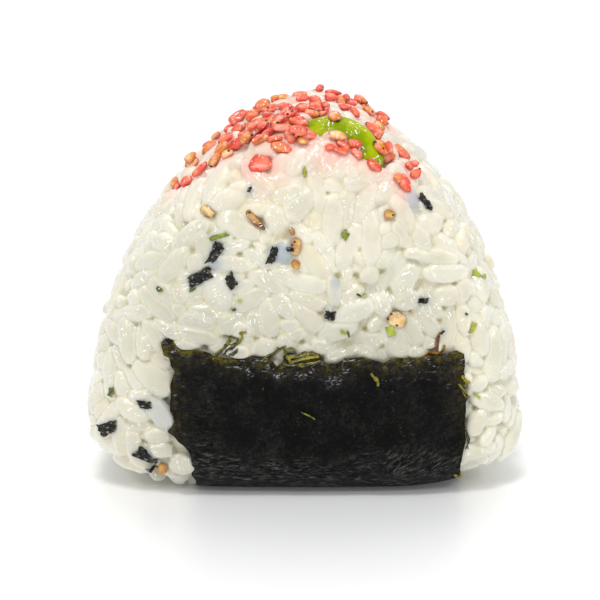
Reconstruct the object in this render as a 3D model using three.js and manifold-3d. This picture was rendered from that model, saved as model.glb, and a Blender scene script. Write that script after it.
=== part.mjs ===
// An onigiri: a palm-sized triangle of pressed rice that stands on its long side, with a strip of
// nori folded under it from front to back, a green soybean set in the tip, pink sesame over the tip,
// and toasted sesame and nori flakes mixed into the rice.
// Millimetres. X is the width, Y the thickness with the front at -Y, and Z is up from the table.
import * as THREE from "three";
import { mergeVertices } from "three/addons/utils/BufferGeometryUtils.js";
import Module from "manifold-3d";

const wasm = await Module();
wasm.setup();

// ---------------------------------------------------------------- driving dimensions

const ball = {
  height: 62.5, // table to the rounded tip
  halfWidth: 35.7,
  widestAt: 10.5, // height of the widest place
  halfFoot: 15, // half of the flat that it stands on
  cornerFullness: 0.55, // of the two lower corners
  flankRise: 28, // how far the flanks rise before they lean in
  tipBreadth: 15,
  tipLean: 1.3, // the tip sits a little to the right
  thickness: 38,
  dome: 2, // how much thicker the middle is than the rim
  domeReach: 33,
  domeHeight: 27,
  rounding: 8, // radius from the flanks to the front and the back
};

const rice = {
  length: 8,
  width: 3.4,
  depth: 2.7,
  rise: 0.3, // of the highest grains over the pressed surface
  cover: 0.9, // how deep the solid core lies under that surface
  samples: 5, // points along a grain that keep it off its neighbours
  margin: 2.25, // from the middle line of a grain to the nori and to the bean
};

// Each round of grains fills the gaps that the one before it left.
const riceRounds = [
  { tries: 16000, stretch: 1, spacing: 3.15 },
  { tries: 12000, stretch: 0.72, spacing: 2.95 },
];

const nori = {
  left: -21.7,
  right: 25.6,
  top: 24.4,
  thickness: 0.4,
  tuck: 3.6, // how much the left edge draws in where it goes under
  tuckFrom: 13,
  tuckTo: 4,
  wave: 0.26,
  tornRise: 2.2, // of the torn corner at the top left
  tornLean: 1.1,
  columns: 15,
  rows: 30,
};

const bean = {
  length: 15,
  width: 7,
  depth: 5.6,
  bend: 2,
  ends: [
    { x: 0.8, y: -9.7 },
    { x: 13, y: -11.7 },
  ],
  sunk: 1.9, // of its middle under the surface of the rice
  clearance: 0.32,
};

// The seeds are deep enough to reach the solid core, and only their tops show.
const sesame = { length: 3.1, width: 1.9, depth: 2.7, pinkRise: 0.6, toastedRise: 0.3, spacing: 1.5 };

// Pink sesame lies in drifts over the tip: a line in plan, the spread to each side and a count.
const drifts = [
  { from: [-21, -4], to: [-10, -12.5], spread: 0.8, count: 11 },
  { from: [-14, 6], to: [-4, 8], spread: 3.5, count: 10 },
  { from: [-12, -7], to: [1, -3], spread: 4, count: 34 },
  { from: [-10, -13.5], to: [-3, -14.5], spread: 1.3, count: 6 },
  { from: [2, 6], to: [12, 5], spread: 3.5, count: 14 },
  { from: [8, -6.5], to: [17.5, -13], spread: 1.2, count: 12 },
  { from: [1.5, -16.3], to: [9.5, -16.2], spread: 0.7, count: 6 },
];

// Toasted sesame in the rice of the front: a place and the way that it points, in degrees from X.
const toasted = [
  { x: -15.1, z: 48.9, turn: -25 },
  { x: -7.8, z: 47.7, turn: -48 },
  { x: -1.3, z: 44, turn: 80 },
  { x: 13.5, z: 48.6, turn: -70 },
  { x: 14.7, z: 31, turn: 20 },
  { x: -23.2, z: 5.4, turn: 30 },
];

// Shreds of nori in the rice of the front.
const flakeDepth = 1.6;
const flakeRise = 0.25;
const flakes = [
  { x: -14.3, z: 42.7, length: 3.8, width: 1.9, turn: 62 },
  { x: -16.6, z: 38.4, length: 4.8, width: 1.8, turn: 33 },
  { x: -11.7, z: 37.7, length: 2.8, width: 2.2, turn: -60 },
  { x: -4.9, z: 41.8, length: 2.4, width: 1.4, turn: 70 },
  { x: 18.6, z: 50.1, length: 3.6, width: 1.7, turn: -60 },
  { x: -31.6, z: 12.4, length: 3.4, width: 2, turn: 25 },
  { x: -25.6, z: 16.7, length: 2.8, width: 1.7, turn: -5 },
  { x: -25.6, z: 7.4, length: 4.6, width: 2, turn: -42 },
];

// ---------------------------------------------------------------- repeatable chance

function chance(seed) {
  let state = seed;
  return () => {
    state = (state + 0x6d2b79f5) | 0;
    let mixed = Math.imul(state ^ (state >>> 15), 1 | state);
    mixed = (mixed + Math.imul(mixed ^ (mixed >>> 7), 61 | mixed)) ^ mixed;
    return ((mixed ^ (mixed >>> 14)) >>> 0) / 4294967296;
  };
}

// ---------------------------------------------------------------- the pressed surface

// The rounded triangle seen from the front: x across, and y of the path is the height.
function trianglePath() {
  const { halfFoot, halfWidth, widestAt, cornerFullness, flankRise, tipBreadth, tipLean, height } = ball;
  const cornerX = halfFoot + (halfWidth - halfFoot) * cornerFullness;
  const cornerZ = widestAt * (1 - cornerFullness);
  const shoulder = widestAt + flankRise;
  return new THREE.Path()
    .moveTo(halfFoot, 0)
    .bezierCurveTo(cornerX, 0, halfWidth, cornerZ, halfWidth, widestAt)
    .bezierCurveTo(halfWidth, shoulder, tipLean + tipBreadth, height, tipLean, height)
    .bezierCurveTo(tipLean - tipBreadth, height, -halfWidth, shoulder, -halfWidth, widestAt)
    .bezierCurveTo(-halfWidth, cornerZ, -cornerX, 0, -halfFoot, 0);
}

const outline = trianglePath().getPoints(14);

// How far a place is outside the rounded triangle, seen from the front. Inside it is negative.
function outsideTriangle(x, z) {
  let nearest = Infinity;
  let inside = false;
  for (let i = 0; i < outline.length; i += 1) {
    const a = outline[i];
    const b = outline[(i + 1) % outline.length];
    const dx = b.x - a.x;
    const dz = b.y - a.y;
    const along = THREE.MathUtils.clamp(((x - a.x) * dx + (z - a.y) * dz) / (dx * dx + dz * dz || 1), 0, 1);
    nearest = Math.min(nearest, Math.hypot(a.x + along * dx - x, a.y + along * dz - z));
    if (a.y > z !== b.y > z && x < ((b.x - a.x) * (z - a.y)) / (b.y - a.y) + a.x) inside = !inside;
  }
  return inside ? -nearest : nearest;
}

// How far a place is outside the pressed rice.
function outside(p) {
  const { rounding, thickness, dome, domeReach, domeHeight } = ball;
  const rim = Math.min(1, (p.x / domeReach) ** 2 + ((p.z - domeHeight) / domeReach) ** 2);
  const across = outsideTriangle(p.x, p.z) + rounding;
  const through = Math.abs(p.y) - (thickness / 2 - dome * rim) + rounding;
  const corner = Math.hypot(Math.max(across, 0), Math.max(through, 0));
  return Math.min(Math.max(across, through), 0) + corner - rounding;
}

function outwards(p) {
  const step = 0.05;
  const slope = ["x", "y", "z"].map((axis) => {
    const ahead = p.clone();
    const behind = p.clone();
    ahead[axis] += step;
    behind[axis] -= step;
    return outside(ahead) - outside(behind);
  });
  return new THREE.Vector3(...slope).normalize();
}

// Moves a place straight out or in until it is `level` above the pressed surface.
function settle(p, level = 0) {
  const settled = p.clone();
  for (let i = 0; i < 4; i += 1) {
    settled.addScaledVector(outwards(settled), level - outside(settled));
  }
  return settled;
}

// The place on the surface that a straight line from `start` first meets.
function reach(start, way) {
  const p = start.clone();
  for (let i = 0; i < 90; i += 1) p.addScaledVector(way, 0.9 * outside(p));
  return p;
}

const fromFront = (x, z) => reach(new THREE.Vector3(x, -60, z), new THREE.Vector3(0, 1, 0));
const fromAbove = (x, y) => reach(new THREE.Vector3(x, y, 100), new THREE.Vector3(0, 0, -1));

// A place on the surface with axes along it, across it and out of it.
function spotAt(p, heading) {
  const out = outwards(p);
  const along = heading.clone().addScaledVector(out, -heading.dot(out)).normalize();
  return { p, out, along, across: new THREE.Vector3().crossVectors(out, along) };
}

// ---------------------------------------------------------------- solids

function solidOf(geometry) {
  const bare = geometry.clone();
  bare.deleteAttribute("normal");
  bare.deleteAttribute("uv");
  const merged = mergeVertices(bare, 1e-4);
  return new wasm.Manifold(
    new wasm.Mesh({
      numProp: 3,
      vertProperties: new Float32Array(merged.attributes.position.array),
      triVerts: new Uint32Array(merged.index.array),
    }),
  );
}

function geometryOf(solid) {
  const mesh = solid.getMesh();
  const geometry = new THREE.BufferGeometry();
  geometry.setAttribute("position", new THREE.BufferAttribute(mesh.vertProperties, 3));
  geometry.setIndex(new THREE.BufferAttribute(mesh.triVerts, 1));
  geometry.computeVertexNormals();
  return geometry;
}

// A long faceted bead with its length along X: `stations` are [share of half length, share of radius].
function bead(length, width, depth, sides, stations) {
  const profile = stations.map(([along, radius]) => new THREE.Vector2(radius / 2, along / 2));
  return new THREE.LatheGeometry(profile, sides)
    .rotateZ(-Math.PI / 2)
    .rotateX(Math.PI)
    .scale(length, width, depth);
}

const grainStations = [
  [-1, 0],
  [-0.7, 0.9],
  [0.7, 0.9],
  [1, 0],
];

const seedStations = [
  [-1, 0],
  [-0.45, 0.9],
  [0.35, 0.75],
  [1, 0],
];

// Lays a piece that is modelled along X onto a spot: it follows the bend of the surface along its
// length, and its middle is `level` above the pressed surface.
function lay(geometry, spot, level) {
  const laid = geometry.clone();
  const position = laid.attributes.position;
  for (let i = 0; i < position.count; i += 1) {
    const spine = spot.p.clone().addScaledVector(spot.along, position.getX(i));
    const placed = settle(spine, level);
    placed.addScaledVector(spot.across, position.getY(i)).addScaledVector(spot.out, position.getZ(i));
    position.setXYZ(i, placed.x, placed.y, placed.z);
  }
  return laid;
}

// A closed solid from a loop of rings, each a list of places, shut by a point at each end.
function loft(rings, first, last) {
  const places = [first, ...rings.flat(), last];
  const around = rings[0].length;
  const faces = [];
  const at = (ring, i) => 1 + ring * around + (i % around);
  for (let i = 0; i < around; i += 1) {
    faces.push(0, at(0, i), at(0, i + 1));
    faces.push(places.length - 1, at(rings.length - 1, i + 1), at(rings.length - 1, i));
    for (let ring = 0; ring + 1 < rings.length; ring += 1) {
      faces.push(at(ring, i), at(ring + 1, i), at(ring, i + 1));
      faces.push(at(ring, i + 1), at(ring + 1, i), at(ring + 1, i + 1));
    }
  }
  return new THREE.BufferGeometry().setFromPoints(places).setIndex(faces);
}

// The solid middle of the rice, a little smaller than the pressed surface.
function coreGeometry() {
  const around = 32;
  const middle = new THREE.Vector3(0, 0, 28);
  const edge = ball.thickness / 2 - ball.dome;
  const flat = edge - ball.rounding;
  // Share of the way out from the middle, and depth, of each ring from front to back.
  const half = [
    [0.55, edge],
    [0.93, edge - ball.rounding * 0.18],
    [1, edge - ball.rounding * 0.5],
    [1, flat],
  ];
  const stations = [...half.map(([s, y]) => [s, -y]), ...half.reverse()];
  const path = trianglePath().getSpacedPoints(around).slice(0, around);
  const inset = (q, y, share) => new THREE.Vector3(q.x, 0, q.y).lerp(middle, 1 - share).setY(y);
  const rings = stations.map(([share, y]) => path.map((q) => settle(inset(q, y, share), -rice.cover)));
  const ends = [-1, 1].map((side) => settle(new THREE.Vector3(0, side * edge, middle.z), -rice.cover));
  return loft(rings, ends[0], ends[1]);
}

// ---------------------------------------------------------------- what keeps grains away

// How far a place on the surface is outside the strip of nori, along the surface.
function outsideNori(p) {
  const left = noriLeft(p.z);
  return Math.max(left - p.x, p.x - nori.right, p.z - nori.top);
}

function noriLeft(z) {
  return nori.left + nori.tuck * (1 - THREE.MathUtils.smoothstep(z, nori.tuckTo, nori.tuckFrom));
}

const beanPlaces = [0, 0.25, 0.5, 0.75, 1].map((share) =>
  fromAbove(
    THREE.MathUtils.lerp(bean.ends[0].x, bean.ends[1].x, share),
    THREE.MathUtils.lerp(bean.ends[0].y, bean.ends[1].y, share),
  ),
);

function outsideBean(p) {
  return Math.min(...beanPlaces.map((q) => q.distanceTo(p))) - bean.width / 2;
}

function pointsAlong(spot, length) {
  return Array.from({ length: rice.samples }, (_, i) => {
    const share = (i + 0.5) / rice.samples - 0.5;
    return settle(spot.p.clone().addScaledVector(spot.along, share * length));
  });
}

const clearOf = (points, taken, spacing) =>
  points.every((p) => taken.every((q) => p.distanceToSquared(q) > spacing * spacing));

// ---------------------------------------------------------------- rice

function scatterGrains() {
  const random = chance(11);
  const taken = [];
  const grains = [];
  const room = new THREE.Vector3(2 * ball.halfWidth + 4, ball.thickness + 4, ball.height + 4);
  for (const round of riceRounds) {
    for (let i = 0; i < round.tries; i += 1) {
      const thrown = new THREE.Vector3(random() - 0.5, random() - 0.5, random() - 0.5).multiply(room);
      thrown.z += ball.height / 2;
      const heading = new THREE.Vector3(random() - 0.5, random() - 0.5, random() - 0.5);
      const length = rice.length * round.stretch * (0.88 + 0.2 * random());
      if (Math.abs(outside(thrown)) > 2) continue;
      const spot = spotAt(settle(thrown), heading);
      const points = pointsAlong(spot, length);
      if (points.some((p) => Math.min(outsideNori(p), outsideBean(p)) < rice.margin)) continue;
      if (!clearOf(points, taken, round.spacing)) continue;
      taken.push(...points);
      grains.push({ spot, length });
    }
  }
  return grains;
}

function grainSolids() {
  return scatterGrains().map(({ spot, length }) => {
    const shape = bead(length, rice.width, rice.depth, 5, grainStations);
    return solidOf(lay(shape, spot, rice.rise - rice.depth / 2));
  });
}

// ---------------------------------------------------------------- seeds and flakes

function driftSpots() {
  const random = chance(5);
  const margin = sesame.length / 2 + bean.clearance;
  const taken = [];
  const spots = [];
  for (const drift of drifts) {
    let placed = 0;
    for (let i = 0; i < drift.count * 12 && placed < drift.count; i += 1) {
      const share = random();
      const off = (random() + random() - 1) * drift.spread;
      const dx = drift.to[0] - drift.from[0];
      const dy = drift.to[1] - drift.from[1];
      const span = Math.hypot(dx, dy);
      const x = drift.from[0] + share * dx - (off * dy) / span;
      const y = drift.from[1] + share * dy + (off * dx) / span;
      const p = fromAbove(x, y);
      const turn = random() * 2 * Math.PI;
      if (outsideBean(p) < margin || !clearOf([p], taken, sesame.spacing)) continue;
      taken.push(p);
      spots.push(spotAt(p, new THREE.Vector3(Math.cos(turn), Math.sin(turn), 0)));
      placed += 1;
    }
  }
  return spots;
}

const frontSpot = ({ x, z, turn }) => {
  const angle = THREE.MathUtils.degToRad(turn);
  return spotAt(fromFront(x, z), new THREE.Vector3(Math.cos(angle), 0, Math.sin(angle)));
};

function seedSolids() {
  const seed = bead(sesame.length, sesame.width, sesame.depth, 4, seedStations);
  return [
    ...driftSpots().map((spot) => solidOf(lay(seed, spot, sesame.pinkRise - sesame.depth / 2))),
    ...toasted.map((place) => solidOf(lay(seed, frontSpot(place), sesame.toastedRise - sesame.depth / 2))),
  ];
}

function flakeSolids() {
  return flakes.map((flake) => {
    const sheet = new THREE.BoxGeometry(flake.length, flake.width, flakeDepth);
    return solidOf(lay(sheet, frontSpot(flake), flakeRise - flakeDepth / 2));
  });
}

// ---------------------------------------------------------------- the soybean

function beanGeometry(swell) {
  const shape = new THREE.SphereGeometry(0.5, 14, 9).rotateZ(Math.PI / 2);
  shape.scale(bean.length + 2 * swell, bean.width + 2 * swell, bean.depth + 2 * swell);
  const position = shape.attributes.position;
  const [start, end] = bean.ends.map(({ x, y }) => fromAbove(x, y));
  const spot = spotAt(beanPlaces[2].clone(), end.clone().sub(start));
  for (let i = 0; i < position.count; i += 1) {
    const along = position.getX(i);
    const share = along / (bean.length / 2);
    const sag = bean.bend * share * share;
    const placed = spot.p
      .clone()
      .addScaledVector(spot.along, along)
      .addScaledVector(spot.across, position.getY(i) - sag)
      .addScaledVector(spot.out, position.getZ(i) - bean.sunk - sag);
    position.setXYZ(i, placed.x, placed.y, placed.z);
  }
  return shape;
}

// ---------------------------------------------------------------- the nori

// The line that the strip follows at one x: down the front, under and up the back, evenly spaced.
function wrapLine(x, top) {
  const step = 0.4;
  const line = [fromFront(x, top)];
  while (line.length < 600) {
    const last = line[line.length - 1];
    if (line.length > 60 && last.z >= top) break;
    const out = outwards(last);
    const ahead = new THREE.Vector3(0, -out.z, out.y).normalize();
    const next = last.clone().addScaledVector(ahead, step);
    for (let i = 0; i < 3; i += 1) {
      const lift = outwards(next);
      const rate = Math.hypot(lift.y, lift.z);
      next.addScaledVector(new THREE.Vector3(0, lift.y, lift.z), -outside(next) / (rate * rate));
    }
    line.push(next);
  }
  const spaced = [];
  for (let row = 0; row <= nori.rows; row += 1) {
    const place = (row / nori.rows) * (line.length - 1);
    const low = Math.min(Math.floor(place), line.length - 2);
    spaced.push(line[low].clone().lerp(line[low + 1], place - low));
  }
  return spaced;
}

// The strip is dry and crinkled on the front and the back, and lies flat where it carries the weight.
function crinkle(p, out) {
  const waves =
    Math.sin(p.x * 0.42 + p.z * 0.23) +
    Math.sin(p.x * 0.19 - p.z * 0.61 + 1.7) +
    0.6 * Math.sin(p.x * 0.87 + p.z * 0.35 + p.y);
  const lying = THREE.MathUtils.smoothstep(-out.z, 0.35, 0.85);
  return (nori.wave / 2.6) * waves * (1 - lying);
}

// The cut edges are a little uneven, as steps from the straight strip in millimetres.
const raggedTop = (share) => 0.55 * Math.sin(share * 19) + 0.4 * Math.sin(share * 43 + 1);
const raggedSide = (z) => 0.3 * Math.sin(z * 0.9) + 0.18 * Math.sin(z * 2.1 + 2);

function noriGeometry() {
  const { columns, rows, left, right, top } = nori;
  const lines = [];
  for (let column = 0; column <= columns; column += 1) {
    const share = column / columns;
    const torn = column === 0 ? nori.tornRise : 0;
    lines.push(wrapLine(THREE.MathUtils.lerp(left, right, share), top + raggedTop(share) + torn));
  }
  const places = [];
  for (const level of [0, -nori.thickness]) {
    lines.forEach((line, column) => {
      const share = column / columns;
      line.forEach((q) => {
        const torn = Math.max(0, q.z - top - 1) * (nori.tornLean / nori.tornRise);
        const from = noriLeft(q.z) + raggedSide(q.z) - torn;
        const to = right + raggedSide(q.z + 4);
        const p = settle(new THREE.Vector3(THREE.MathUtils.lerp(from, to, share), q.y, q.z));
        const out = outwards(p);
        const placed = p.clone().addScaledVector(out, level + crinkle(p, out));
        if (out.z < -0.999) placed.z = -level;
        places.push(placed);
      });
    });
  }
  const count = (columns + 1) * (rows + 1);
  const at = (column, row, layer) => layer * count + column * (rows + 1) + row;
  const faces = [];
  for (let column = 0; column < columns; column += 1) {
    for (let row = 0; row < rows; row += 1) {
      const quad = (layer) => [
        at(column, row, layer),
        at(column + 1, row, layer),
        at(column + 1, row + 1, layer),
        at(column, row + 1, layer),
      ];
      const [a, b, c, d] = quad(0);
      const [e, f, g, h] = quad(1);
      faces.push(a, c, b, a, d, c, e, f, g, e, g, h);
    }
  }
  const wall = (a, b, c, d) => faces.push(a, b, c, a, c, d);
  for (let column = 0; column < columns; column += 1) {
    wall(at(column, 0, 0), at(column + 1, 0, 0), at(column + 1, 0, 1), at(column, 0, 1));
    wall(at(column, rows, 1), at(column + 1, rows, 1), at(column + 1, rows, 0), at(column, rows, 0));
  }
  for (let row = 0; row < rows; row += 1) {
    wall(at(0, row, 1), at(0, row + 1, 1), at(0, row + 1, 0), at(0, row, 0));
    wall(at(columns, row, 0), at(columns, row + 1, 0), at(columns, row + 1, 1), at(columns, row, 1));
  }
  return new THREE.BufferGeometry().setFromPoints(places).setIndex(faces);
}

// ---------------------------------------------------------------- assembly

const cookedRice = new THREE.MeshStandardMaterial({ color: 0xeeeadb, roughness: 0.35 });
const seaweed = new THREE.MeshStandardMaterial({ color: 0x191c16, roughness: 0.55 });
const greenBean = new THREE.MeshStandardMaterial({ color: 0x86b81a, roughness: 0.25 });

function named(name, geometry, material) {
  const mesh = new THREE.Mesh(geometry, material);
  mesh.name = name;
  return mesh;
}

const core = solidOf(coreGeometry());
const fused = wasm.Manifold.union([core, ...grainSolids(), ...seedSolids(), ...flakeSolids()]);
const pocket = solidOf(beanGeometry(bean.clearance));

// Only the largest shell is kept, which fills sealed hollows and drops loose scraps.
const riceSolid = fused
  .subtract(pocket)
  .decompose()
  .reduce((largest, shell) => (shell.volume() > largest.volume() ? shell : largest));

const onigiri = new THREE.Group();
onigiri.add(named("rice", geometryOf(riceSolid), cookedRice));
onigiri.add(named("nori", noriGeometry(), seaweed));
onigiri.add(named("soybean", beanGeometry(0), greenBean));

export default onigiri;
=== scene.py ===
import math
import bpy
import numpy as np
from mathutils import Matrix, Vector
from mathutils.bvhtree import BVHTree
from mathutils.kdtree import KDTree


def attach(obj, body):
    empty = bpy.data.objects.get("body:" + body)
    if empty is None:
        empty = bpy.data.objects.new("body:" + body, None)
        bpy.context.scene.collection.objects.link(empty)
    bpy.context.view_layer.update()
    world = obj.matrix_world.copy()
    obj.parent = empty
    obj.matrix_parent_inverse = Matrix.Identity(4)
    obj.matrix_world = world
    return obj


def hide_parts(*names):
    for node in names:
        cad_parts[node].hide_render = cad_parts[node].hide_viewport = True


# An onigiri with nori, sesame and a green soybean. Shapes are worked out in millimetres
# and scaled to metres when a mesh is made. The front is at -Y and the table at Z = 0.
mm = 0.001
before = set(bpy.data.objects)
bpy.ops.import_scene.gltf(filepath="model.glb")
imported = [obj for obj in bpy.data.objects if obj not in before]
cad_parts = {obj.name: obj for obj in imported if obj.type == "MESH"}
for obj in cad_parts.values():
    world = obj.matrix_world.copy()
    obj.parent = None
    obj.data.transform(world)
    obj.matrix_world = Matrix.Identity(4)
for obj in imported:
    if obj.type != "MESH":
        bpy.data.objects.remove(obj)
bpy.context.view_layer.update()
print("stage: frame loaded")

view = {
    "distance": 450.0,      # from the middle of the onigiri to the lens
    "elevation": 16.0,      # degrees above the table
    "middle": 31.0,         # height of the middle
    "aim": (-0.83, 0.0, 29.1),
    "lens": 162.0,
    "sensor": 36.0,
    "halfSize": 300,        # of the square view in which places are given, in pixels
    "scale": 6.0,           # pixels in that view for a millimetre
}

studio = {
    "seen": 1.05,           # brightness of the backdrop as the camera sees it
    "fill": 0.52,           # brightness of the room as everything else sees it
    "floorSize": 6.0,
    "floor": {
        "Base Color": (0.968, 0.973, 0.985), "Roughness": 0.4, "Specular IOR Level": 1.0, "IOR": 1.9,
        "Emission Color": (1, 1, 1), "Emission Strength": 0.045,
    },
    # name: where it shines from, softness in degrees and strength
    "lights": {
        "key": ((-30, -150, 300), 13, 1.2),
        "back": ((0, 170, 300), 40, 0.8),
        "left": ((-430, -250, 190), 40, 0.12),
        "right": ((420, -240, 220), 40, 0.14),
        "sparkLeft": ((-110, -210, 200), 6, 0.32),
        "sparkRight": ((140, -190, 190), 6, 0.36),
    },
}


def addObject(name, data):
    thing = bpy.data.objects.new(name, data)
    bpy.context.collection.objects.link(thing)
    return thing


def feed(tree, node, inputs):
    # links what comes from a node and sets what is a plain value
    for key, value in inputs.items():
        socket = node.inputs[key]
        if isinstance(value, bpy.types.NodeSocket):
            tree.links.new(value, socket)
        else:
            socket.default_value = (*value[:3], 1) if socket.type == "RGBA" else value


def addNode(tree, kind, inputs, **settings):
    node = tree.nodes.new("ShaderNode" + kind)
    for key, value in settings.items():
        setattr(node, key, value)
    feed(tree, node, inputs)
    return node


def newMaterial(name, values):
    material = bpy.data.materials.new(name)
    material.use_nodes = True
    shader = material.node_tree.nodes["Principled BSDF"]
    feed(material.node_tree, shader, values)
    return material, material.node_tree, shader


def unit(v):
    return v / np.maximum(np.linalg.norm(v, axis=-1, keepdims=True), 1e-9)


tilt = math.radians(view["elevation"])
eye = np.array([0, -math.cos(tilt), math.sin(tilt)]) * view["distance"] + (0, 0, view["middle"])
sightAhead = unit(np.array(view["aim"]) - eye)
sightRight = unit(np.cross(sightAhead, (0, 0, 1)))
sightUp = np.cross(sightRight, sightAhead)


def pointAt(thing, target):
    way = Vector(target) - thing.location
    thing.rotation_euler = way.to_track_quat("-Z", "Y").to_euler()


def addCamera():
    camera = addObject("camera", bpy.data.cameras.new("camera"))
    camera.data.lens = view["lens"]
    camera.data.sensor_width = view["sensor"]
    camera.data.clip_start = 0.01
    camera.location = eye * mm
    pointAt(camera, [value * mm for value in view["aim"]])
    bpy.context.scene.camera = camera


def addWorld():
    world = bpy.data.worlds.new("studio")
    world.use_nodes = True
    tree = world.node_tree
    seen = addNode(tree, "LightPath", {}).outputs["Is Camera Ray"]
    inputs = {"Value": seen, "To Min": studio["fill"], "To Max": studio["seen"]}
    strength = addNode(tree, "MapRange", inputs).outputs["Result"]
    feed(tree, tree.nodes["Background"], {"Strength": strength, "Color": (1, 1, 1)})
    bpy.context.scene.world = world


def addLights():
    for name, (place, softness, strength) in studio["lights"].items():
        light = bpy.data.lights.new(name, "SUN")
        light.energy = strength
        light.angle = math.radians(softness)
        lamp = addObject(name, light)
        lamp.location = [value * mm for value in place]
        pointAt(lamp, (0, 0, 0))
    bpy.context.scene.view_settings.view_transform = "Standard"
    bpy.context.scene.view_settings.look = "None"


def addFloor():
    bpy.ops.mesh.primitive_plane_add(size=studio["floorSize"], location=(0, 0, 0))
    floor = bpy.context.object
    floor.name = "floor"
    floor.data.materials.append(newMaterial("floor", studio["floor"])[0])


addCamera()
addWorld()
addLights()
addFloor()
print("stage: studio ready")

ball = {
    "height": 62.5, "halfWidth": 35.7, "widestAt": 10.5, "halfFoot": 15.0,
    "cornerFullness": 0.55, "flankRise": 28.0, "tipBreadth": 15.0, "tipLean": 1.3,
    "thickness": 38.0, "dome": 2.0, "domeReach": 33.0, "domeHeight": 27.0, "rounding": 8.0,
    "pieceSteps": 14,
    "gridStep": 0.25,
    "gridLow": (-50.0, -14.0), "gridHigh": (50.0, 78.0),
}


def bezier(a, b, c, d, steps):
    t = np.linspace(0, 1, steps + 1)[1:, None]
    return (1 - t) ** 3 * a + 3 * (1 - t) ** 2 * t * b + 3 * (1 - t) * t * t * c + t ** 3 * d


def trianglePoints():
    half, width, widest = ball["halfFoot"], ball["halfWidth"], ball["widestAt"]
    full, lean, top = ball["cornerFullness"], ball["tipLean"], ball["height"]
    cornerX, cornerZ = half + (width - half) * full, widest * (1 - full)
    shoulder = widest + ball["flankRise"]
    stops = [
        (half, 0), (cornerX, 0), (width, cornerZ), (width, widest),
        (width, shoulder), (lean + ball["tipBreadth"], top), (lean, top),
        (lean - ball["tipBreadth"], top), (-width, shoulder), (-width, widest),
        (-width, cornerZ), (-cornerX, 0), (-half, 0),
    ]
    stops = [np.array(stop, float) for stop in stops]
    pieces = [bezier(*stops[i:i + 4], ball["pieceSteps"]) for i in range(0, 12, 3)]
    return np.vstack([stops[0][None], *pieces])


def outsidePolygon(points, x, z):
    nearest = np.full(x.shape, np.inf)
    inside = np.zeros(x.shape, bool)
    for a, b in zip(points, np.roll(points, -1, axis=0)):
        edge = b - a
        along = ((x - a[0]) * edge[0] + (z - a[1]) * edge[1]) / max(edge @ edge, 1e-9)
        along = np.clip(along, 0, 1)
        away = np.hypot(a[0] + along * edge[0] - x, a[1] + along * edge[1] - z)
        nearest = np.minimum(nearest, away)
        if a[1] != b[1]:
            crosses = ((a[1] > z) != (b[1] > z)) & (x < edge[0] * (z - a[1]) / edge[1] + a[0])
            inside ^= crosses
    return np.where(inside, -nearest, nearest)


# The distance to the rounded triangle is worked out once on a fine grid and read from it later.
gridX = np.arange(ball["gridLow"][0], ball["gridHigh"][0], ball["gridStep"])
gridZ = np.arange(ball["gridLow"][1], ball["gridHigh"][1], ball["gridStep"])
triangleGrid = outsidePolygon(trianglePoints(), *np.meshgrid(gridX, gridZ, indexing="ij"))


def outsideTriangle(x, z):
    u = np.clip((x - gridX[0]) / ball["gridStep"], 0, len(gridX) - 1.001)
    v = np.clip((z - gridZ[0]) / ball["gridStep"], 0, len(gridZ) - 1.001)
    i, j = u.astype(int), v.astype(int)
    u, v = u - i, v - j
    low = triangleGrid[i, j] * (1 - u) + triangleGrid[i + 1, j] * u
    high = triangleGrid[i, j + 1] * (1 - u) + triangleGrid[i + 1, j + 1] * u
    return low * (1 - v) + high * v


def levelOf(p):
    # how far each place is above the pressed surface, below it negative
    x, y, z = np.moveaxis(p, -1, 0)
    rim = (x / ball["domeReach"]) ** 2 + ((z - ball["domeHeight"]) / ball["domeReach"]) ** 2
    across = outsideTriangle(x, z) + ball["rounding"]
    through = np.abs(y) - (ball["thickness"] / 2 - ball["dome"] * np.minimum(1, rim)) + ball["rounding"]
    corner = np.hypot(np.maximum(across, 0), np.maximum(through, 0))
    return np.minimum(np.maximum(across, through), 0) + corner - ball["rounding"]


def outwards(p):
    # the way that the pressed surface faces, read over a short step
    sides = np.eye(3) * 0.3
    return unit(np.stack([levelOf(p + side) - levelOf(p - side) for side in sides], axis=-1))


def settle(p, level=0.0, rounds=3):
    for _ in range(rounds):
        p = p + outwards(p) * (level - levelOf(p))[..., None]
    return p


def reach(start, way):
    p = np.array(start, float)
    for _ in range(90):
        p = p + np.asarray(way) * 0.9 * levelOf(p)[..., None]
    return p


def fromAbove(x, y):
    return reach((x, y, 100.0), (0, 0, -1))


def sightLine(px, py):
    # the way in which a place in the view is seen
    half = view["halfSize"]
    span = view["sensor"] / 2 / view["lens"]
    right = (np.asarray(px, float) - half) / half * span
    up = (half - np.asarray(py, float)) / half * span
    return unit(sightAhead + right[..., None] * sightRight + up[..., None] * sightUp)


def seenSpot(px, py):
    # where a place in the view falls on the pressed surface
    way = sightLine(px, py)
    return reach(eye + way * (view["distance"] - 60), way)


def viewHeading(turn):
    # the way that a turn in degrees points in the view
    turn = np.radians(turn)[..., None]
    return np.cos(turn) * sightRight + np.sin(turn) * sightUp


def viewCurve(places):
    # x and z on the pressed surface of places in the view
    spots = seenSpot(*np.array(places, float).T)
    return spots[:, 0], spots[:, 2]


def lyingOn(out, heading):
    # the heading once it lies along a surface
    return unit(heading - out * (heading * out).sum(-1, keepdims=True))


def smooth(low, high, value):
    t = np.clip((value - low) / (high - low), 0, 1)
    return t * t * (3 - 2 * t)


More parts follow.
